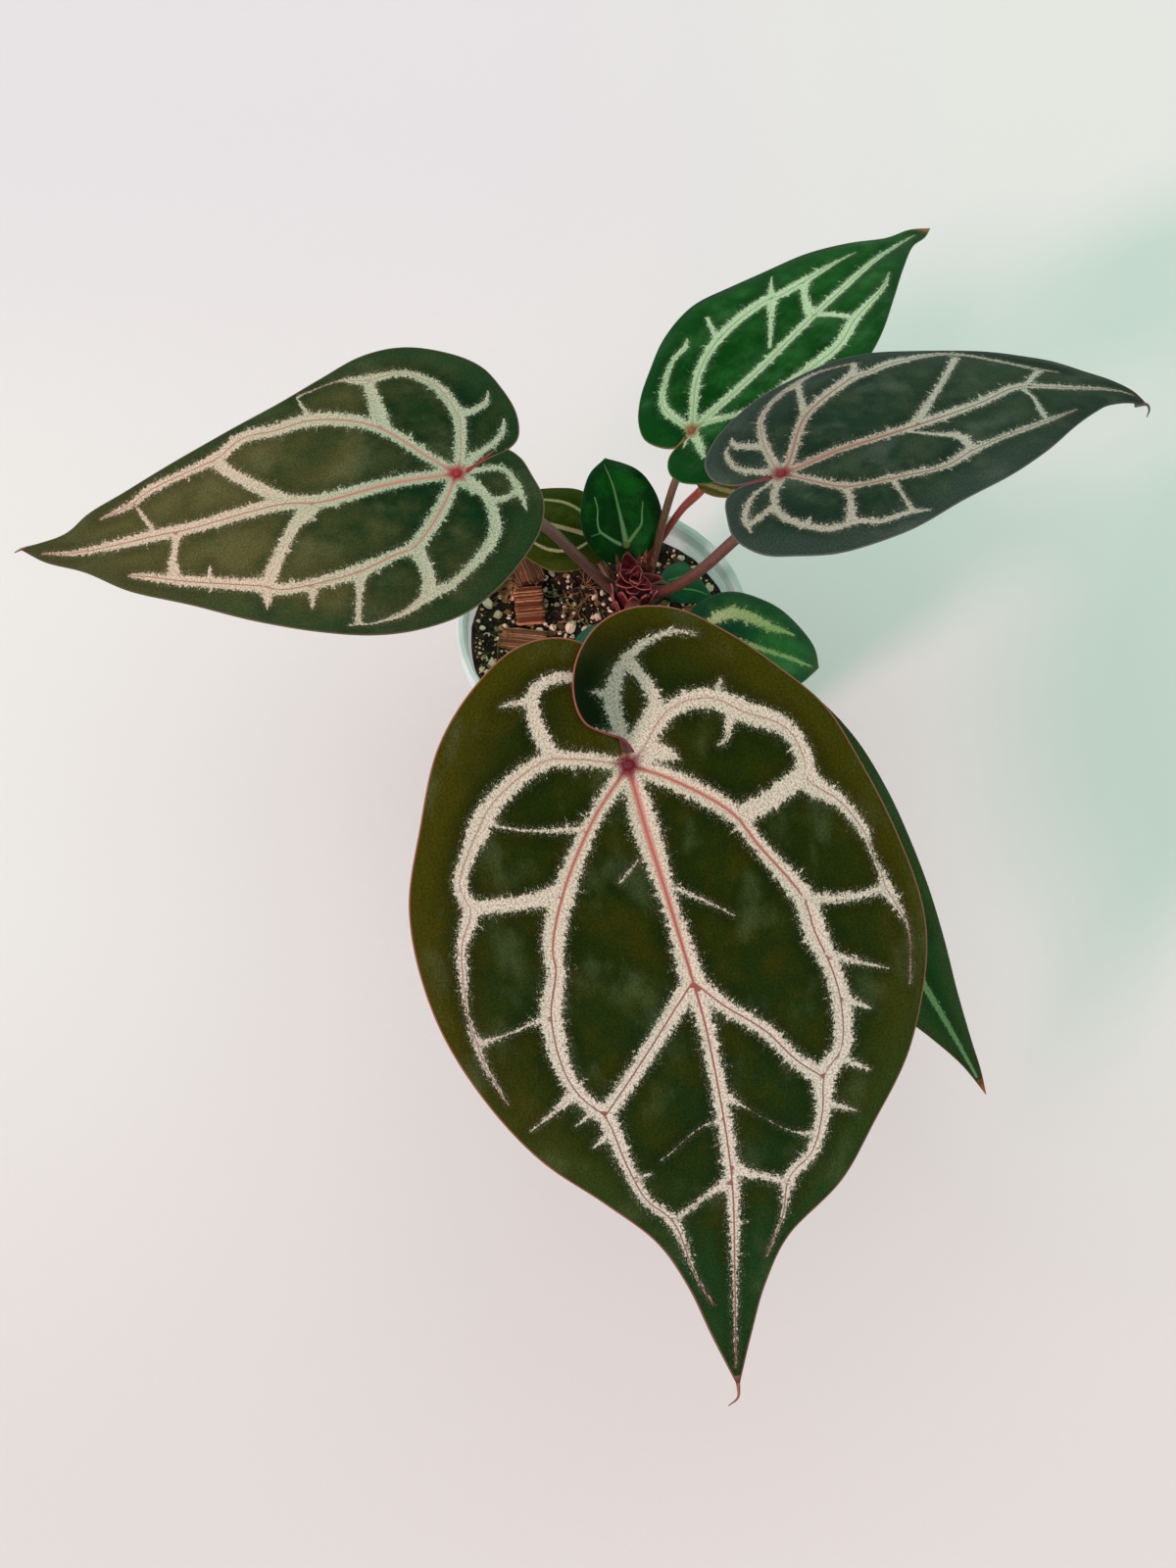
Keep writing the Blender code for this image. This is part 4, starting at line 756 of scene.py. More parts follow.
def leaf_ground(s, look, flat, rim, reach, length):
    """Velvet ground: from the joint's colour to the tip's, with patches, edge zone and grain, and with
    painted sheen patches and painted shade beside the bands.
    """
    broad = s.noise(flat, 0.045, 4.0, 0.6)
    mottle = s.noise(flat, 0.07, 5.0, 0.62)
    sheen_drift = s.noise(flat, 0.06, 4.0, 0.55, stretch=(0.8, 1.2, 1.0))
    grain = s.noise(flat, 1.7, 5.0, 0.8)
    far = s.plus(reach, s.times(s.minus(broad, 0.5), 0.8 * length))
    first, last = look.get("turn", (0.15, 0.85))
    ground = s.ramp(far, first * length, last * length, (look["near"], look["far"]))
    ground = s.blend(s.step(mottle, 0.42, 0.66, 0.0, 0.7), ground, look["warm"])
    wander = s.times(s.minus(mottle, 0.5), 2.4 * look["edge_zone"])
    zone = s.step(s.plus(rim, wander), 0.1 * look["edge_zone"], 1.3 * look["edge_zone"], 0.85, 0.0)
    edge_colours = look["edge"], look.get("edge_far", look["edge"])
    edge = s.ramp(reach, 0.45 * length, 0.8 * length, edge_colours)
    ground = s.blend(zone, ground, edge)
    # Painted sheen: lighter greyish patches where light glances off the velvet, as strong as haze says.
    ground = s.blend(s.step(sheen_drift, 0.5, 0.72, 0.0, look.get("haze", 0.35)), ground, look["sheen_patch"])
    # Painted shade: the ground is darker beside the pale bands and a little lighter in the middle of the
    # panels, as on a puckered blade.
    band_shade = s.step(s.number("band"), 0.3, BAND_SHADE_REACH, 0.8, 1.06)
    grain_and_band_shade = s.times(s.step(grain, 0.3, 0.7, 0.55, 1.45), band_shade)
    grey = s.put("ShaderNodeCombineColor", {0: grain_and_band_shade, 1: grain_and_band_shade, 2: grain_and_band_shade}).outputs[0]
    return s.blend(1.0, ground, grey, "MULTIPLY")


def leaf_bands(s, look, flat, comb, band):
    """How much of the pale band shows: a frosted, ragged edge and loose specks beside it."""
    feather = look["feather"]
    barbs = s.minus(s.noise(comb, 1.0, 4.0, 0.7, stretch=(1.1, 0.4, 1.0)), 0.5)
    frost = s.minus(s.noise(flat, 1.2, 6.0, 0.8), 0.5)
    ragged = s.plus(s.times(barbs, BARB_REACH), s.times(frost, FROST_REACH))
    thorns = s.step(s.noise(comb, 1.0, 3.0, 0.6, stretch=(0.45, 0.16, 1.0)), 0.52, 0.74, 0.0, -THORN_REACH)
    ragged = s.times(s.plus(ragged, thorns), feather)
    ragged = s.plus(ragged, look.get("narrow", 0.0))
    coarse = s.step(s.number("wide"), 0.1, 1.3, 0.3, 1.0)
    inner = s.plus(band, s.times(ragged, coarse))
    silver = s.step(inner, -0.14, 0.1, 1.0, 0.0)
    specks = s.step(s.noise(flat, 3.2, 2.0, 0.6), 0.56, 0.62)
    beside = s.times(coarse, s.step(inner, 0.0, 0.4 + 1.3 * feather, 0.75, 0.0))
    return s.math("MAXIMUM", silver, s.times(specks, beside))


def leaf_midlines(s, look, colour, middle, reach, length):
    """Flush beside the midlines, wide near the joint, and the thin line in it."""
    force = s.number("force")
    width = s.times(force, s.step(reach, 0.08 * length, 0.5 * length, 1.0, 0.2))
    aside = s.math("DIVIDE", middle, s.plus(width, 0.05))
    share = s.times(s.step(aside, 0.3, 1.25, 0.85, 0.0), s.step(force, 0.25, 0.75))
    share = s.times(share, s.step(reach, 0.2 * length, 0.8 * length, 1.0, 0.5))
    colour = s.blend(share, colour, look["flush"])
    fade = s.step(reach, 0.1 * length, 0.5 * length, 0.5, 0.8)
    line = s.times(s.step(middle, 0.06, 0.3, 1.0, 0.0), s.times(fade, s.step(force, 0.0, 0.6)))
    return s.blend(line, colour, look["line"])


def leaf_material(name, look, length):
    """Dark velvet ground, feathered pale bands, coloured midlines and a thin margin."""
    s = Shader(f"leaf_{name}")
    flat = s.vector("flat")
    middle = s.number("middle")
    rim = s.number("rim")
    reach = s.number("reach")
    fold_shade = s.number("fold_shade")

    colour = leaf_ground(s, look, flat, rim, reach, length)
    # Painted shade on a lobe that lies over another one, darkest near its edge.
    if "fold" in look:
        lobe_shade = s.times(fold_shade, s.step(rim, 3.0, 13.0, 0.95, 0.25))
        colour = s.blend(lobe_shade, colour, look["fold"])
    silver = leaf_bands(s, look, flat, s.vector("comb"), s.number("band"))
    sparkle = s.noise(flat, 1.9, 4.0, 0.8)
    pale = s.ramp(reach, 0.1 * length, 0.6 * length, (look["band_near"], look["band_far"]))
    # The bands on that lobe are greyer with the same painted shade.
    if "fold_band_shade" in look:
        pale = s.blend(s.times(fold_shade, 0.8), pale, look["fold_band_shade"])
    pale = s.blend(s.step(sparkle, 0.37, 0.58, 0.66, 0.0), pale, look["warm"])
    colour = s.blend(silver, colour, pale)
    colour = leaf_midlines(s, look, colour, middle, reach, length)
    star = s.step(reach, 0.8, 0.03 * length + 1.0, 1.0, 0.0)
    star = s.minus(star, s.step(middle, 0.3, 2.0, 0.0, 0.7))
    colour = s.blend(s.math("MAXIMUM", star, 0.0), colour, look["core"])
    colour = s.blend(s.step(rim, 0.1, 0.35, 0.85, 0.0), colour, look["margin"])
    colour = s.blend(s.number("tip"), colour, look["tip"])
    strong = s.step(s.number("force"), 0.0, 0.5, 0.4, 1.0)
    ribs = s.times(s.step(middle, 0.5, 1.5, 0.7, 0.0), strong)
    below = s.blend(ribs, look["under"], look["band_far"])
    colour = s.blend(s.number("under"), colour, below)
    s.set(Base_Color=colour, Roughness=look["rough"], Specular_IOR_Level=look.get("gloss", GLOSS))
    s.bump(s.plus(sparkle, s.times(silver, 0.5)), 0.45)
    return s.mat


def blade_relief(over, middle, force, rim, reach, length):
    """Heights of the blade's top and bottom over its middle surface."""
    fade = (1 - over) * (1 - 0.7 * np.clip(reach / length, 0, 1))
    inwards = smooth_step(rim / EDGE_TAPER)
    grooved = min(1.0, length / GROOVED_LENGTH)
    groove = GROOVE_DEPTH * fade * (0.5 + 0.5 * force) * np.exp(-(middle / GROOVE_WIDTH) ** 2)
    groove *= inwards * grooved
    puff = PUFF * (1 - over) * smooth_step(middle / PUFF_WIDTH) * smooth_step(rim / PUFF_WIDTH)
    puff *= min(1.0, length / PUFFED_LENGTH)
    rib = RIB_DEPTH * fade * force * np.exp(-(middle / RIB_WIDTH) ** 2)
    rib *= smooth_step((reach - RIB_START) / RIB_FADE) * inwards * grooved
    thick = RIM_THICKNESS + (BLADE_THICKNESS - RIM_THICKNESS) * inwards
    sunk = 0.5 * (BLADE_THICKNESS - RIM_THICKNESS) * (1 - inwards)
    return puff - groove - sunk, 0.5 * puff - sunk - thick - rib


def make_blade(name, leaf, look):
    """Closed blade of fine triangles, with the fields that its material reads."""
    frame = leaf_frame(leaf)
    up, length = frame[3], frame[4]
    flat, faces, outline = blade_pattern(leaf, length)
    places, over = blade_places(leaf, frame, flat)
    band, middle, force, along, across, wide = vein_fields(leaf, flat)
    rim = nearest(flat, smooth_path([*outline, outline[0]], 0.5))
    edges = rim_edges(faces)
    rim[list({i for edge in edges for i in edge})] = 0.0
    reach = np.hypot(flat[:, 0], flat[:, 1])
    high, low = blade_relief(over, middle, force, rim, reach, length)
    top = places + up * high[:, None]
    bottom = places + up * low[:, None]
    count = len(flat)
    solid = [tuple(f) for f in faces] + [tuple(count + i for i in f[::-1]) for f in faces]
    for a, b in edges:
        solid += [(b, a, count + a), (b, count + a, count + b)]
    piece = new_piece(f"leaf_{name}", np.vstack([top, bottom]), solid, leaf_material(name, look, length),
                      [f"blade_{name}"])
    mesh = piece.data
    tip_length = look.get("tip_length", TIP_LENGTH)
    tip = smooth_step((flat[:, 0] - (length - tip_length)) / tip_length)
    # Where the painted shade of an overlapping lobe lies: on the lobe, fading out away from the joint.
    fold_shade = over * smooth_step((FOLD_SHADE_REACH - reach) / FOLD_SHADE_FADE)
    fields = dict(band=band, middle=middle, wide=wide, force=force, fold_shade=fold_shade, rim=rim, reach=reach,
                  tip=tip)
    for key, values in fields.items():
        add_numbers(mesh, key, np.tile(values, 2))
    add_numbers(mesh, "under", np.repeat([0.0, 1.0], count))
    level = np.zeros(count)
    add_vectors(mesh, "flat", np.tile(np.column_stack([flat, level]), (2, 1)))
    add_vectors(mesh, "comb", np.tile(np.column_stack([along, band, 4 * across]), (2, 1)))


def tube(points, radii, sides, ridges=0.0):
    """Closed tube along the points, with flat ends."""
    points = np.array(points, float)
    ahead = np.gradient(points, axis=0)
    ahead /= np.linalg.norm(ahead, axis=1)[:, None]
    across = np.cross(ahead[0], (0.3, 0.2, 1.0) if abs(ahead[0][2]) < 0.9 else (1.0, 0.2, 0.1))
    across /= np.linalg.norm(across)
    verts = []
    for place, direction, radius in zip(points, ahead, radii):
        across = across - direction * (across @ direction)
        across /= np.linalg.norm(across)
        third = np.cross(direction, across)
        for k in range(sides):
            angle = 2 * math.pi * k / sides
            size = radius * (1 + ridges * math.cos(5 * angle))
            verts.append(place + size * (across * math.cos(angle) + third * math.sin(angle)))
    faces = []
    for ring in range(len(points) - 1):
        for k in range(sides):
            a = ring * sides + k
            b = ring * sides + (k + 1) % sides
            faces.append((a, b, b + sides, a + sides))
    faces.append(tuple(reversed(range(sides))))
    faces.append(tuple(range(len(verts) - sides, len(verts))))
    return verts, faces


def rim_material(name, look):
    s = Shader(f"rim_{name}")
    streak = s.noise(s.place(), 900.0, 3.0, 0.6)
    colour = s.blend(s.number("deep"), look["margin"], look["core"])
    colour = s.blend(s.step(streak, 0.5, 0.7, 0.0, 0.4), colour, look["tip"])
    colour = s.blend(s.number("far"), colour, look.get("edge_far", look["margin"]))
    s.set(Base_Color=colour, Roughness=0.45, Specular_IOR_Level=0.2)
    return s.mat


def make_rim(name, leaf, look):
    """Bead round the blade's edge, stouter where the lobes fold in, with joint and tip."""
    frame = leaf_frame(leaf)
    joint, along, left, up, length = frame
    verts, faces, deep, far = [], [], [], []

    def add(body, skin, shade, reaches):
        add_body(verts, faces, body, skin)
        deep.extend(shade)
        far.extend(reaches)

    for points in (leaf["left"] + [(length, 0)], leaf["right"][::-1] + [(length, 0)]):
        flat = smooth_path(points, 1.0)
        places, _ = blade_places(leaf, frame, flat)
        reach = np.hypot(flat[:, 0], flat[:, 1])
        close = smooth_step(1 - reach / (BEAD_CLOSE * length))
        distant = smooth_step(1.6 * reach / length - 0.6)
        middle = places - up * (0.5 * RIM_THICKNESS + BEAD_SINK)
        body, skin = tube(middle, look["rim"] * (1 + BEAD_SWELL * close), BEAD_SIDES)
        add(body, skin, np.repeat(close, BEAD_SIDES), np.repeat(distant, BEAD_SIDES))
    ball, skin = pebble_shape(3)
    knob = JOINT_SHARE * length
    radii = np.array((1.1, 1.0, 0.6)) * knob
    add(joint + ball * radii, skin.tolist(), np.ones(len(ball)), np.zeros(len(ball)))
    if "hook" in look:
        tip = joint + along * length
        path = smooth_path([tip + along * x + left * y + up * (z - 0.3) for x, y, z in look["hook"]], 0.4)
        share = np.linspace(0, 1, len(path))
        body, skin = tube(path, 0.75 - 0.6 * share, BEAD_SIDES)
        add(body, skin, np.repeat(0.4 * share, BEAD_SIDES), np.zeros(len(body)))
    piece = new_piece(f"leaf_{name}_rim", verts, faces, rim_material(name, look),
                      [f"blade_{name}"])
    add_numbers(piece.data, "deep", deep)
    add_numbers(piece.data, "far", far)


def stalk_material(name, stalk):
    s = Shader(f"stalk_{name}")
    place = s.place()
    streak = s.noise(place, 900.0, 4.0, 0.6, stretch=(1.0, 1.0, 0.12))
    speck = s.noise(place, 2200.0, 2.0, 0.5)
    colour = s.blend(s.number("along"), stalk["low"], stalk["high"])
    colour = s.blend(s.step(streak, 0.4, 0.7, 0.0, 0.45), colour, stalk["low"])
    colour = s.blend(s.step(speck, 0.52, 0.7, 0.0, 0.4), colour, STALK_SPECKS)
    s.set(Base_Color=colour, Roughness=0.42)
    s.bump(streak, 0.25)
    return s.mat


def make_stalk(name, stalk, leaf):
    joint, along, _, up, length = leaf_frame(leaf)
    slope = (4 + BACK_FALL) / 2 * leaf["arch"] / length
    up = up - along * slope
    up /= np.linalg.norm(up)
    turn = math.radians(stalk["turn"])
    outwards = np.array((math.cos(turn), math.sin(turn), 0.0))
    crown = np.array((*CROWN_AT, stalk["height"]))
    foot = crown + outwards * (CROWN_RADIUS - 1.0)
    blade_under = joint - up * (BLADE_THICKNESS - 0.1)
    route = [foot, foot + outwards * 2.0, *stalk["via"],
             blade_under - up * (stalk["square"] - 1), blade_under]
    path = smooth_path(route, 0.6 * stalk["radius"] + 0.3)
    left_to_go = np.linalg.norm(path - blade_under, axis=1)
    from_foot = np.linalg.norm(path - foot, axis=1)
    radii = stalk["radius"] * (1 + (KNEE_SWELL - 1) * smooth_step(1.5 - left_to_go / KNEE_LENGTH)
                               + 0.25 * smooth_step(1 - from_foot / 9))
    radii = radii * (1 - 0.5 * smooth_step(1 - left_to_go / 1.5))
    verts, faces = tube(path, radii, STALK_SIDES, STALK_RIDGES)
    piece = new_piece(f"leaf_stalk_{name}", verts, faces, stalk_material(name, stalk),
                      [f"stalk_{name}"])
    share = np.repeat(np.linspace(0, 1, len(path)), STALK_SIDES)
    add_numbers(piece.data, "along", share)


def turned(profile, sides, centre=(0.0, 0.0)):
    """Solid turned from a closed profile of (radius, height); radius 0 ends it on the axis."""
    rings = []
    verts = []
    for radius, height in profile:
        if radius == 0:
            rings.append([len(verts)] * sides)
            verts.append((centre[0], centre[1], height))
            continue
        rings.append(list(range(len(verts), len(verts) + sides)))
        for k in range(sides):
            angle = 2 * math.pi * k / sides
            verts.append((centre[0] + radius * math.cos(angle), centre[1] + radius * math.sin(angle),
                          height))
    faces = []
    for lower, upper in zip(rings, rings[1:]):
        for k in range(sides):
            n = (k + 1) % sides
            faces.append(tuple(dict.fromkeys((lower[k], lower[n], upper[n], upper[k]))))
    return verts, faces


def wall_radius(height):
    neck = POT_HEIGHT - RIM_BAND - 1
    return POT_BASE_RADIUS + (POT_NECK_RADIUS - POT_BASE_RADIUS) * min(height / neck, 1.0)


def dress_pot(frame):
    """The pot keeps its CAD shape and gets its clear, slightly milky plastic."""
    s = Shader("clear_plastic")
    place = s.place()
    haze = s.noise(place, 60.0, 3.0, 0.5)
    height = s.put("ShaderNodeSeparateXYZ", {0: place}).outputs[2]
    cover = s.step(height, (POT_HEIGHT - RIM_BAND - 3) * MM, (POT_HEIGHT - RIM_BAND) * MM, 0.4, 0.82)
    below = s.step(height, (SOIL_LEVEL - 4) * MM, SOIL_LEVEL * MM, 0.2, 0.0)
    cover = s.minus(cover, below)
    s.set(Base_Color=s.ramp(haze, 0.3, 0.7, POT_TINTS), Roughness=0.4, Alpha=cover,
          Specular_IOR_Level=0.35)
    pot = frame["nodes"]["pot"]
    pot.data.materials.clear()
    pot.data.materials.append(s.mat)


def soil_material():
    s = Shader("potting_mix")
    place = s.place()
    lumps = s.noise(place, 260.0, 6.0, 0.7)
    crumbs = s.noise(place, 900.0, 5.0, 0.7)
    colour = s.ramp(lumps, 0.42, 0.66, SOIL_TINTS)
    colour = s.blend(s.step(crumbs, 0.56, 0.68, 0.0, 0.8), colour, SOIL_STRAW)
    s.set(Base_Color=colour, Roughness=0.95)
    s.bump(crumbs, 0.8, 1.0 * MM)
    return s.mat


def grain_material(name, low, high, scale, rough):
    s = Shader(name)
    place = s.place()
    grain = s.noise(place, scale, 4.0, 0.6)
    colour = s.blend(s.number("tone"), low, high)
    colour = s.blend(s.step(grain, 0.4, 0.75, 0.0, 0.5), colour, low)
    s.set(Base_Color=colour, Roughness=rough)
    s.bump(grain, 0.5, 0.4 * MM)
    return s.mat


def soil_top(x, y, lumps):
    """Height of the mix at places x and y, with a lump as its place, size and rise."""
    height = np.zeros_like(x)
    for lx, ly, size, rise in lumps:
        height += rise * np.exp(-((x - lx) ** 2 + (y - ly) ** 2) / size ** 2)
    return SOIL_LEVEL + np.clip(height, -1.8, 2.2)


# Seeds of the mix's lumps, of the placed and the loose white grains, and of the fibres.
LUMP_SEED = 5
GRAIN_SEED = 8
WHITE_SEED = 3
FIBRE_SEED = 12
# Lumps of the mix: how many, and the spans of their x, y, size and rise.
LUMP_COUNT = 420
LUMP_SPANS = ((-46, 46), (-46, 46), (1.0, 3.4), (-1.6, 1.9))


def make_soil():
    """Rough top of the mix with its plain round side. Its lumps are returned."""
    draw = random.Random(LUMP_SEED)
    radius = wall_radius(SOIL_LEVEL) - POT_WALL - SOIL_GAP
    lumps = [tuple(draw.uniform(*span) for span in LUMP_SPANS) for _ in range(LUMP_COUNT)]
    rings, sides = SOIL_RINGS, SOIL_SIDES
    verts = [(0.0, 0.0, SOIL_LEVEL)]
    for ring in range(1, rings + 1):
        for k in range(sides):
            angle = 2 * math.pi * k / sides
            reach = radius * ring / rings
            verts.append((reach * math.cos(angle), reach * math.sin(angle), 0.0))
    verts = np.array(verts)
    verts[:, 2] = soil_top(verts[:, 0], verts[:, 1], lumps)
    foot = wall_radius(POT_FLOOR) - POT_WALL - SOIL_GAP
    rim = verts[-sides:]
    lower = np.column_stack([rim[:, :2] * foot / radius, np.full(sides, POT_FLOOR + SOIL_FOOT_GAP)])
    faces = [(0, 1 + k, 1 + (k + 1) % sides) for k in range(sides)]
    verts = np.vstack([verts, lower])
    for ring in range(rings):
        for k in range(sides):
            a, b = 1 + ring * sides + k, 1 + ring * sides + (k + 1) % sides
            faces.append((a, a + sides, b + sides, b))
    faces.append(tuple(reversed(range(len(verts) - sides, len(verts)))))
    new_piece("potting_mix", verts, faces, soil_material(), ["soil"])
    return lumps


def height_at(x, y, lumps):
    return float(soil_top(np.array([float(x)]), np.array([float(y)]), lumps)[0])


def pebble_shape(detail):
    """Points and triangles of a ball."""
    form = bmesh.new()
    bmesh.ops.create_icosphere(form, subdivisions=detail, radius=1.0)
    verts = np.array([tuple(v.co) for v in form.verts])
    faces = np.array([[v.index for v in f.verts] for f in form.faces])
    form.free()
    return verts, faces


def scatter(name, material, grains, detail, rough, seed):
    """One piece of many loose grains; a grain is its place, its three radii and its turn."""
    shape, faces = pebble_shape(detail)
    draw = np.random.default_rng(seed)
    all_verts, all_faces, tones = [], [], []
    for at, radii, turn in grains:
        bumps = np.ones(len(shape))
        for _ in range(GRAIN_CUTS):
            way = draw.normal(size=3)
            way /= np.linalg.norm(way)
            bumps = np.minimum(bumps, draw.uniform(1 - rough, 1.0) / np.maximum(shape @ way, 0.1))
        body = shape * bumps[:, None] * np.array(radii)
        c, n = math.cos(turn), math.sin(turn)
        x, y, z = body.T
        body = np.column_stack([x * c - y * n, x * n + y * c, z])
        all_faces.append(faces + len(shape) * len(all_verts))
        all_verts.append(body + np.array(at))
        tones.append(np.full(len(shape), draw.random()))
    faces = np.vstack(all_faces).tolist()
    piece = new_piece(name, np.vstack(all_verts), faces, material, ["soil"])
    piece.data.shade_flat()
    add_numbers(piece.data, "tone", np.concatenate(tones))


def random_grains(draw, lumps, count, sizes, flatness, sink):
    """Grains on the mix, clear of the pot and the crown, as places, radii and turns."""
    grains = []
    limit = wall_radius(SOIL_LEVEL) - POT_WALL - GRAIN_TO_POT
    while len(grains) < count:
        x, y = draw.uniform(-limit, limit), draw.uniform(-limit, limit)
        size = draw.uniform(*sizes)
        if math.hypot(x, y) > limit - size or math.dist((x, y), CROWN_AT) < GRAIN_TO_CROWN:
            continue
        z = height_at(x, y, lumps)
        tall = size * draw.uniform(*flatness)
        grains.append(((x, y, z + tall * (1 - sink)),
                       (size, size * draw.uniform(0.6, 1.0), tall), draw.uniform(0, math.pi)))
    return grains


# White grains that the photograph shows, as x, y and the radius read, and how much larger they
# are drawn.
WHITE_SWELL = 1.25
PERLITE = [(-40, 14, 2.1), (-36.5, 9.5, 1.4), (-34, 4, 1.3), (-11, 3, 2.0), (-3, 16.5, 1.2),
           (-0.5, 18, 0.9), (-2, 8.5, 1.3), (-6.5, 4, 1.0), (-38, -15.5, 1.1), (-38, -11, 1.4),
           (-41.5, 3.5, 1.0), (-40, 0, 1.0), (-22, 3, 1.1), (-17.5, 4, 1.1), (-18, 26.5, 1.3),
           (-22, 27, 1.1), (-20.5, 24, 1.2), (31.5, 28.5, 1.5), (37, 20, 1.5), (27.5, 32.5, 1.2),
           (26, 19, 1.2), (23.5, 20, 1.0)]
# Greenish crumbs that it shows.
CRUMBS = [(-17, 18, 1.4), (-14.5, 15.5, 1.5), (-13, 18, 1.1), (-16, 13, 1.2), (-18.5, 19, 1.1)]
# Small white grains lie loose between them: a number, and their spans of radius and flatness.
# The other loose kinds have a name, a darker and a lighter colour, the same three and a seed.
WHITE_LOOSE = (380, (0.35, 1.15), (0.6, 0.9))
KINDS = [
    ("bark_bits", (62, 42, 16), (170, 130, 76), 110, (0.8, 2.2), (0.25, 0.6), 4),
    ("dark_bits", (3, 3, 1), (24, 17, 8), 300, (0.6, 1.9), (0.3, 0.8), 6),
    ("tan_bits", (200, 168, 108), (255, 240, 196), 600, (0.25, 0.8), (0.4, 0.9), 9),
    ("green_bits", (70, 84, 44), (150, 166, 112), 70, (0.5, 1.3), (0.3, 0.7), 7),
]
# Flats cut on a grain, and how far grains keep from the pot and from the crown's axis.
GRAIN_CUTS = 9
GRAIN_TO_POT = 1.0
GRAIN_TO_CROWN = 8.0


def make_grains(lumps):
    """The grains that are placed one by one, and the loose ones of each kind."""
    draw = random.Random(GRAIN_SEED)
    white = grain_material("perlite", *WHITE_AND_LIT_TINTS, 500.0, 0.85)
    shown, crumbs = [], []
    for places, grains, swell in ((PERLITE, shown, WHITE_SWELL), (CRUMBS, crumbs, 1.0)):
        for x, y, size in places:
            size *= swell
            z = height_at(x, y, lumps)
            radii = (size, size * draw.uniform(0.6, 0.95), size * 0.75)
            grains.append(((x, y, z + 0.5 * size), radii, x + y))
    loose = random_grains(draw, lumps, *WHITE_LOOSE, 0.5)
    scatter("perlite_grains", white, shown + loose, 3, 0.45, WHITE_SEED)
    for name, low, high, count, sizes, flatness, seed in KINDS:
        material = grain_material(name, low, high, 700.0, 0.9)
        grains = random_grains(draw, lumps, count, sizes, flatness, 0.4)
        if name == "green_bits":
            grains += crumbs
        scatter(name, material, grains, 2, 0.6, seed)


# Places where husk fibres lie tangled, as x, y, spread and number of strands.
TANGLES = [(-7, 20, 2.5, 26), (-9.5, 10, 2, 14), (-33, 22, 4, 90), (-37, -4, 2, 8), (0, 0, 40, 40)]
# How far fibres keep from the pot's wall and from the crown's axis, the points of each, and the
# spans of their length, radius and height over the mix.
FIBRE_TO_WALL = 3.0
FIBRE_TO_CROWN = 9.0
FIBRE_POINTS = 7
FIBRE_LENGTHS = (3, 9)
FIBRE_RADII = (0.08, 0.22)
FIBRE_LIFTS = (0.4, 1.8)


def make_fibres(lumps):
    """Loose thin strands of husk lying over the mix."""
    draw = random.Random(FIBRE_SEED)
    verts, faces, tones = [], [], []
    limit = wall_radius(SOIL_LEVEL) - FIBRE_TO_WALL
    starts = [(cx + draw.gauss(0, 0.5) * spread, cy + draw.gauss(0, 0.5) * spread)
              for cx, cy, spread, count in TANGLES for _ in range(count)]
    for x, y in starts:
        turn, bend = draw.uniform(0, 2 * math.pi), draw.uniform(-0.5, 0.5)
        stride = draw.uniform(*FIBRE_LENGTHS) / (FIBRE_POINTS - 1)
        line = []
        for _ in range(FIBRE_POINTS):
            line.append((x, y))
            x += stride * math.cos(turn)
            y += stride * math.sin(turn)
            turn += bend
        line = np.array(line)
        outermost = np.hypot(line[:, 0], line[:, 1]).max()
        if outermost > limit or math.dist(line[0], CROWN_AT) < FIBRE_TO_CROWN:
            continue
        heights = soil_top(line[:, 0], line[:, 1], lumps) + draw.uniform(*FIBRE_LIFTS)
        path = smooth_path(np.column_stack([line, heights]), 0.9)
        body, skin = tube(path, np.full(len(path), draw.uniform(*FIBRE_RADII)), 5)
        add_body(verts, faces, body, skin)
        tones += [draw.random()] * len(body)
    material = grain_material("fibres", *FIBRE_TINTS, 900.0, 0.8)
    piece = new_piece("husk_fibres", verts, faces, material, ["soil"])
    add_numbers(piece.data, "tone", tones)


# Layers of fibres in a chip: how high they lie and how thick they are, as shares of its height.
SHEETS = [(0.17, 0.11), (0.46, 0.11), (0.72, 0.06), (0.84, 0.06)]
# Fibres side by side in a layer, the gap under a chip and how ragged its ends are.
CHIP_ROWS = 26
CHIP_GAP = 0.4
CHIP_RAGGED = 1.1
CHIPS = {
    "coir_chip_1": dict(at=(-25.5, 12), turn=96, size=(10.6, 12.8, 4.5), low=(104, 52, 18),
                        high=(240, 176, 116)),
    "coir_chip_2": dict(at=(-28, -1), turn=84, size=(17, 7, 2.5), low=(104, 68, 38), high=(210, 160, 112)),
    "bark_chip": dict(at=(-26, 26), turn=20, size=(10, 9, 4), low=(84, 54, 30), high=(176, 128, 84)),
}


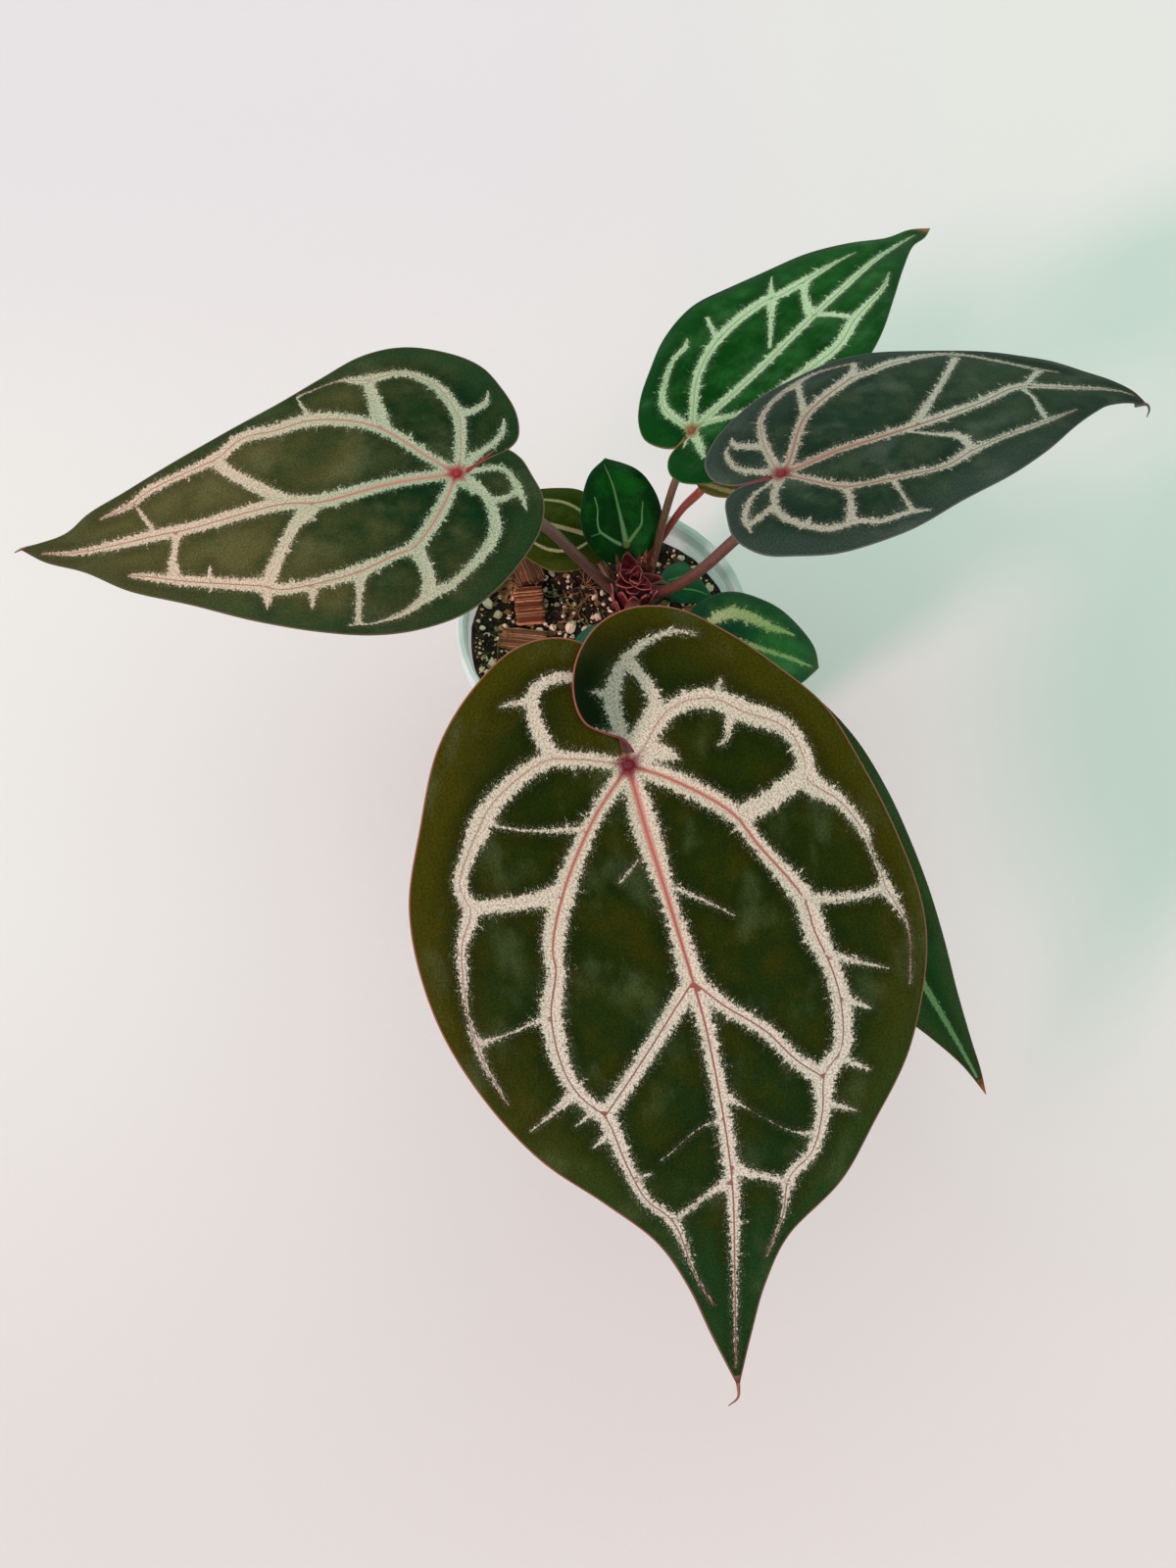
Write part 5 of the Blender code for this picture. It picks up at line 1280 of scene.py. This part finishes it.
def make_chip(name, chip):
    """Chip of husk: a bundle of many fibres side by side, ragged at its ends."""
    draw = random.Random(len(name) + int(chip["turn"]))
    length, width, height = chip["size"]
    turn = math.radians(chip["turn"])
    across_way = np.array((math.cos(turn), math.sin(turn), 0.0))
    along_way = np.array((-math.sin(turn), math.cos(turn), 0.0))
    middle = np.array((*chip["at"], SOIL_LEVEL + CHIP_GAP))
    verts, faces, tones = [], [], []
    for layer, (lift, thick) in enumerate(SHEETS):
        for row in range(CHIP_ROWS):
            across = (row + 0.25 + 0.5 * (layer % 2)) / CHIP_ROWS * width - width / 2
            across += draw.uniform(-0.1, 0.1)
            rise = lift * height + 0.1 * draw.uniform(-1, 1)
            start = -length / 2 + draw.uniform(0, CHIP_RAGGED)
            end = length / 2 - draw.uniform(0, CHIP_RAGGED)
            line = []
            for i in range(6):
                t = i / 5
                line.append(middle + across_way * (across + draw.uniform(-0.12, 0.12))
                            + along_way * (start + (end - start) * t)
                            + np.array((0, 0, rise + draw.uniform(-0.1, 0.1))))
            path = smooth_path(line, 1.2)
            radius = thick * height * draw.uniform(0.8, 1.3)
            body, skin = tube(path, np.full(len(path), radius), 7)
            add_body(verts, faces, body, skin)
            # A few fibres are much lighter: partly pale strands of husk and partly painted highlight along
            # them.
            tones += [draw.random() ** 2.5] * len(body)
    material = grain_material(name, chip["low"], chip["high"], 700.0, 0.85)
    piece = new_piece(f"{name}_fibres", verts, faces, material, [name])
    add_numbers(piece.data, "tone", tones)


# How deep a scale starts in the crown's side and in its top, half its thickness, and its mesh.
SCALE_SINK = 0.6
TOP_SCALE_SINK = 5.0
SCALE_HALF = 0.25
SCALE_ROWS = 12
SCALE_COLUMNS = 7
# Bud scales and papery sheaths: direction, foot height, lean, rise, length, half width, curl,
# and 0 for the red inner kind or 1 for the brown papery kind.
SCALES = [
    (-165, 90, 0.3, 1.0, 12, 3.0, -0.5, 0), (-130, 91, 0.2, 1.0, 11, 3.0, 0.4, 0),
    (-95, 92, 0.15, 1.0, 9, 2.8, -0.4, 0), (-60, 91, 0.2, 1.0, 10.5, 3.0, 0.4, 0),
    (-28, 91, 0.35, 0.9, 11, 2.8, 0.4, 0), (-5, 93, 0.8, 0.5, 12, 2.6, 0.8, 0),
    (-145, 86, 0.3, 0.9, 10, 3.0, -0.4, 0), (-172, 86, 0.35, 0.9, 10, 2.6, 0.5, 0),
    (-105, 100.3, 0.85, 0.25, 8, 2.4, -0.6, 0), (-150, 100, 0.9, 0.45, 9, 3.0, 0.8, 0),
    (-40, 100, 0.9, 0.3, 8, 2.6, 0.7, 0), (170, 100.2, 0.75, 0.6, 7.5, 2.6, 0.7, 0),
    (2, 99.6, 0.95, 0.15, 11, 2.2, 0.9, 0), (72, 99.5, 0.5, 0.8, 6.5, 2.6, 0.6, 0),
    (112, 98.5, 0.5, 0.9, 8, 3.2, 0.5, 0), (-70, 101, 0.6, 0.5, 4.6, 1.7, 0.9, 0),
    (-128, 101, 0.5, 0.6, 4.2, 1.6, 0.9, 0), (30, 101, 0.4, 0.7, 4, 1.5, 0.9, 0),
    (62, 95, 0.2, 1.0, 14, 1.0, 0.4, 1), (45, 94, 0.35, 1.0, 15, 0.8, 0.4, 1),
    (78, 96, 0.15, 1.0, 12, 0.8, 0.4, 1), (140, 95, 0.3, 1.0, 13, 0.9, 0.4, 1),
    (160, 94, 0.5, 0.9, 12, 0.7, 0.4, 1), (-155, 84, 0.7, 0.15, 8, 0.8, 0.4, 1),
]


def sheet_faces(rows, columns):
    """Faces of a thin sheet: its front, its back and the strip round its border."""
    count = rows * columns
    faces = []
    for i in range(rows - 1):
        for j in range(columns - 1):
            a = i * columns + j
            faces.append((a, a + 1, a + 1 + columns, a + columns))
            faces.append((count + a, count + a + columns, count + a + 1 + columns, count + a + 1))
    border = list(range(columns))
    border += [i * columns + columns - 1 for i in range(1, rows)]
    border += [(rows - 1) * columns + j for j in range(columns - 2, -1, -1)]
    border += [i * columns for i in range(rows - 2, 0, -1)]
    for a, b in zip(border, border[1:] + border[:1]):
        faces.append((b, a, count + a, count + b))
    return faces


def scale_sheet(turn, foot, lean, rise, length, half_width, curl):
    """Thin pointed scale, curved round the crown and curling outwards."""
    angle = math.radians(turn)
    outwards = np.array((math.cos(angle), math.sin(angle), 0.0))
    aside = np.array((-math.sin(angle), math.cos(angle), 0.0))
    upwards = np.array((0, 0, 1.0))
    sunk = TOP_SCALE_SINK if foot > CROWN_TOP - 2 else SCALE_SINK
    start = np.array((*CROWN_AT, foot)) + outwards * (CROWN_RADIUS - sunk)
    inwards = (upwards * lean - outwards * rise) / math.hypot(lean, rise)
    rows, columns = SCALE_ROWS, SCALE_COLUMNS
    front, back = [], []
    for i in range(rows):
        t = i / (rows - 1)
        spine = start + outwards * lean * length * t * (1 - 0.2 * t)
        spine = spine + upwards * rise * length * t ** 1.2
        width = half_width * (1 - t ** 2.2) ** 0.7 + 0.12
        for j in range(columns):
            s = 2 * j / (columns - 1) - 1
            wrinkle = 0.15 * math.sin(9 * t + 3 * s)
            bend = curl * width * s * s * (1 - 0.6 * t) - wrinkle
            point = spine + aside * width * s + inwards * bend
            front.append(point - SCALE_HALF * inwards)
            back.append(point + SCALE_HALF * inwards)
    along = [max(0.8 * (i // columns) / (rows - 1), abs(2 * (i % columns) / (columns - 1) - 1) ** 3)
             for i in range(rows * columns)] * 2
    return front + back, sheet_faces(rows, columns), along


def crown_material():
    s = Shader("crown")
    place = s.place()
    streak = s.noise(place, 700.0, 4.0, 0.6)
    papery = s.number("papery")
    along = s.number("along")
    red = s.ramp(streak, 0.35, 0.7, SCALE_TINTS)
    red = s.blend(s.step(along, 0.62, 1.0, 0.0, 0.85), red, SCALE_EDGE)
    # The stub is painted nearly black, as painted shade in the gaps between the scales.
    red = s.blend(s.step(along, -1.0, 0.0, 0.8, 0.0), red, STUB_SHADE)
    brown = s.ramp(streak, 0.35, 0.7, PAPER_TINTS)
    s.set(Base_Color=s.blend(papery, red, brown), Roughness=0.55, Specular_IOR_Level=0.2)
    s.bump(streak, 0.35)
    return s.mat


def make_crown():
    """The stub, with its bud scales and papery sheaths."""
    profile = [(0, CROWN_STUB_FOOT), (CROWN_STUB_RADIUS, CROWN_STUB_FOOT),
               (CROWN_STUB_RADIUS, CROWN_SHOULDER - 2), (CROWN_RADIUS, CROWN_SHOULDER),
               (CROWN_RADIUS, CROWN_TOP - 4), (0.9 * CROWN_RADIUS, CROWN_TOP - 2),
               (0.6 * CROWN_RADIUS, CROWN_TOP - 0.6), (0, CROWN_TOP)]
    verts, faces = turned(profile, CROWN_SIDES, CROWN_AT)
    verts = [np.array(v) for v in verts]
    papery, along = [0.0] * len(verts), [-1.0] * len(verts)
    for *values, kind in SCALES:
        body, skin, share = scale_sheet(*values)
        add_body(verts, faces, body, skin)
        papery += [float(kind)] * len(body)
        along += share
    piece = new_piece("crown_scales", verts, faces, crown_material(), ["crown"])
    add_numbers(piece.data, "papery", papery)
    add_numbers(piece.data, "along", along)


def make_stage():
    """The pale backdrop, with painted shade for light that falls off towards its far, right and near
    parts.
    """
    s = Shader("floor")
    place = s.put("ShaderNodeSeparateXYZ", {0: s.place()})
    grain = s.noise(s.place(), 700.0, 3.0, 0.6)
    tone = FLOOR_COLOUR
    for axis, start, end, shade in FLOOR_FALLOFF_SHADES:
        share = s.step(place.outputs[axis], start * FLOOR_GRADE, end * FLOOR_GRADE)
        tone = s.blend(share, tone, shade)
    s.set(Base_Color=tone, Roughness=0.9, Specular_IOR_Level=0.1)
    s.bump(grain, 0.12, 0.5 * MM)
    mesh = bpy.data.meshes.new("floor")
    corners = [(x * FLOOR_HALF, y * FLOOR_HALF, 0) for x, y in ((-1, -1), (1, -1), (1, 1), (-1, 1))]
    mesh.from_pydata(corners, [], [(0, 1, 2, 3)])
    mesh.materials.append(s.mat)
    floor = bpy.data.objects.new("floor", mesh)
    floor.location.z = -FLOOR_DROP
    bpy.context.scene.collection.objects.link(floor)


def make_light():
    lamp = bpy.data.lights.new("key", "SUN")
    lamp.angle = math.radians(KEY_ANGLE)
    lamp.energy = KEY_STRENGTH
    lamp.color = KEY_COLOUR
    key = bpy.data.objects.new("key", lamp)
    turn, rise = math.radians(KEY_TURN), math.radians(KEY_RISE)
    flat = math.cos(rise)
    key.location = (math.cos(turn) * flat, math.sin(turn) * flat, math.sin(rise))
    key.rotation_mode = "QUATERNION"
    key.rotation_quaternion = (-key.location).to_track_quat("-Z", "Y")
    bpy.context.scene.collection.objects.link(key)
    world = bpy.data.worlds.new("fill")
    world.use_nodes = True
    sky = world.node_tree.nodes["Background"]
    sky.inputs["Color"].default_value = (*FILL_COLOUR, 1.0)
    sky.inputs["Strength"].default_value = FILL_STRENGTH
    bpy.context.scene.world = world


def make_camera():
    data = bpy.data.cameras.new("camera")
    data.sensor_width = CAMERA_SENSOR
    data.lens = CAMERA_LENS
    data.dof.use_dof = False
    camera = bpy.data.objects.new("camera", data)
    camera.location = Vector(CAMERA_AT) * MM
    camera.rotation_euler = (math.atan2(CAMERA_AHEAD[1], -CAMERA_AHEAD[2]), 0, 0)
    bpy.context.scene.collection.objects.link(camera)
    bpy.context.scene.camera = camera


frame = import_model()
for leaf_name, leaf_data in LEAVES.items():
    make_blade(leaf_name, leaf_data, LOOKS[leaf_name])
    if "rim" in LOOKS[leaf_name]:
        make_rim(leaf_name, leaf_data, LOOKS[leaf_name])
    make_stalk(leaf_name, STALKS[leaf_name], leaf_data)
dress_pot(frame)
soil_lumps = make_soil()
make_grains(soil_lumps)
make_fibres(soil_lumps)
for chip_name, chip_data in CHIPS.items():
    make_chip(chip_name, chip_data)
make_crown()
make_stage()
make_light()
make_camera()
bpy.context.scene.view_settings.view_transform = "Standard"
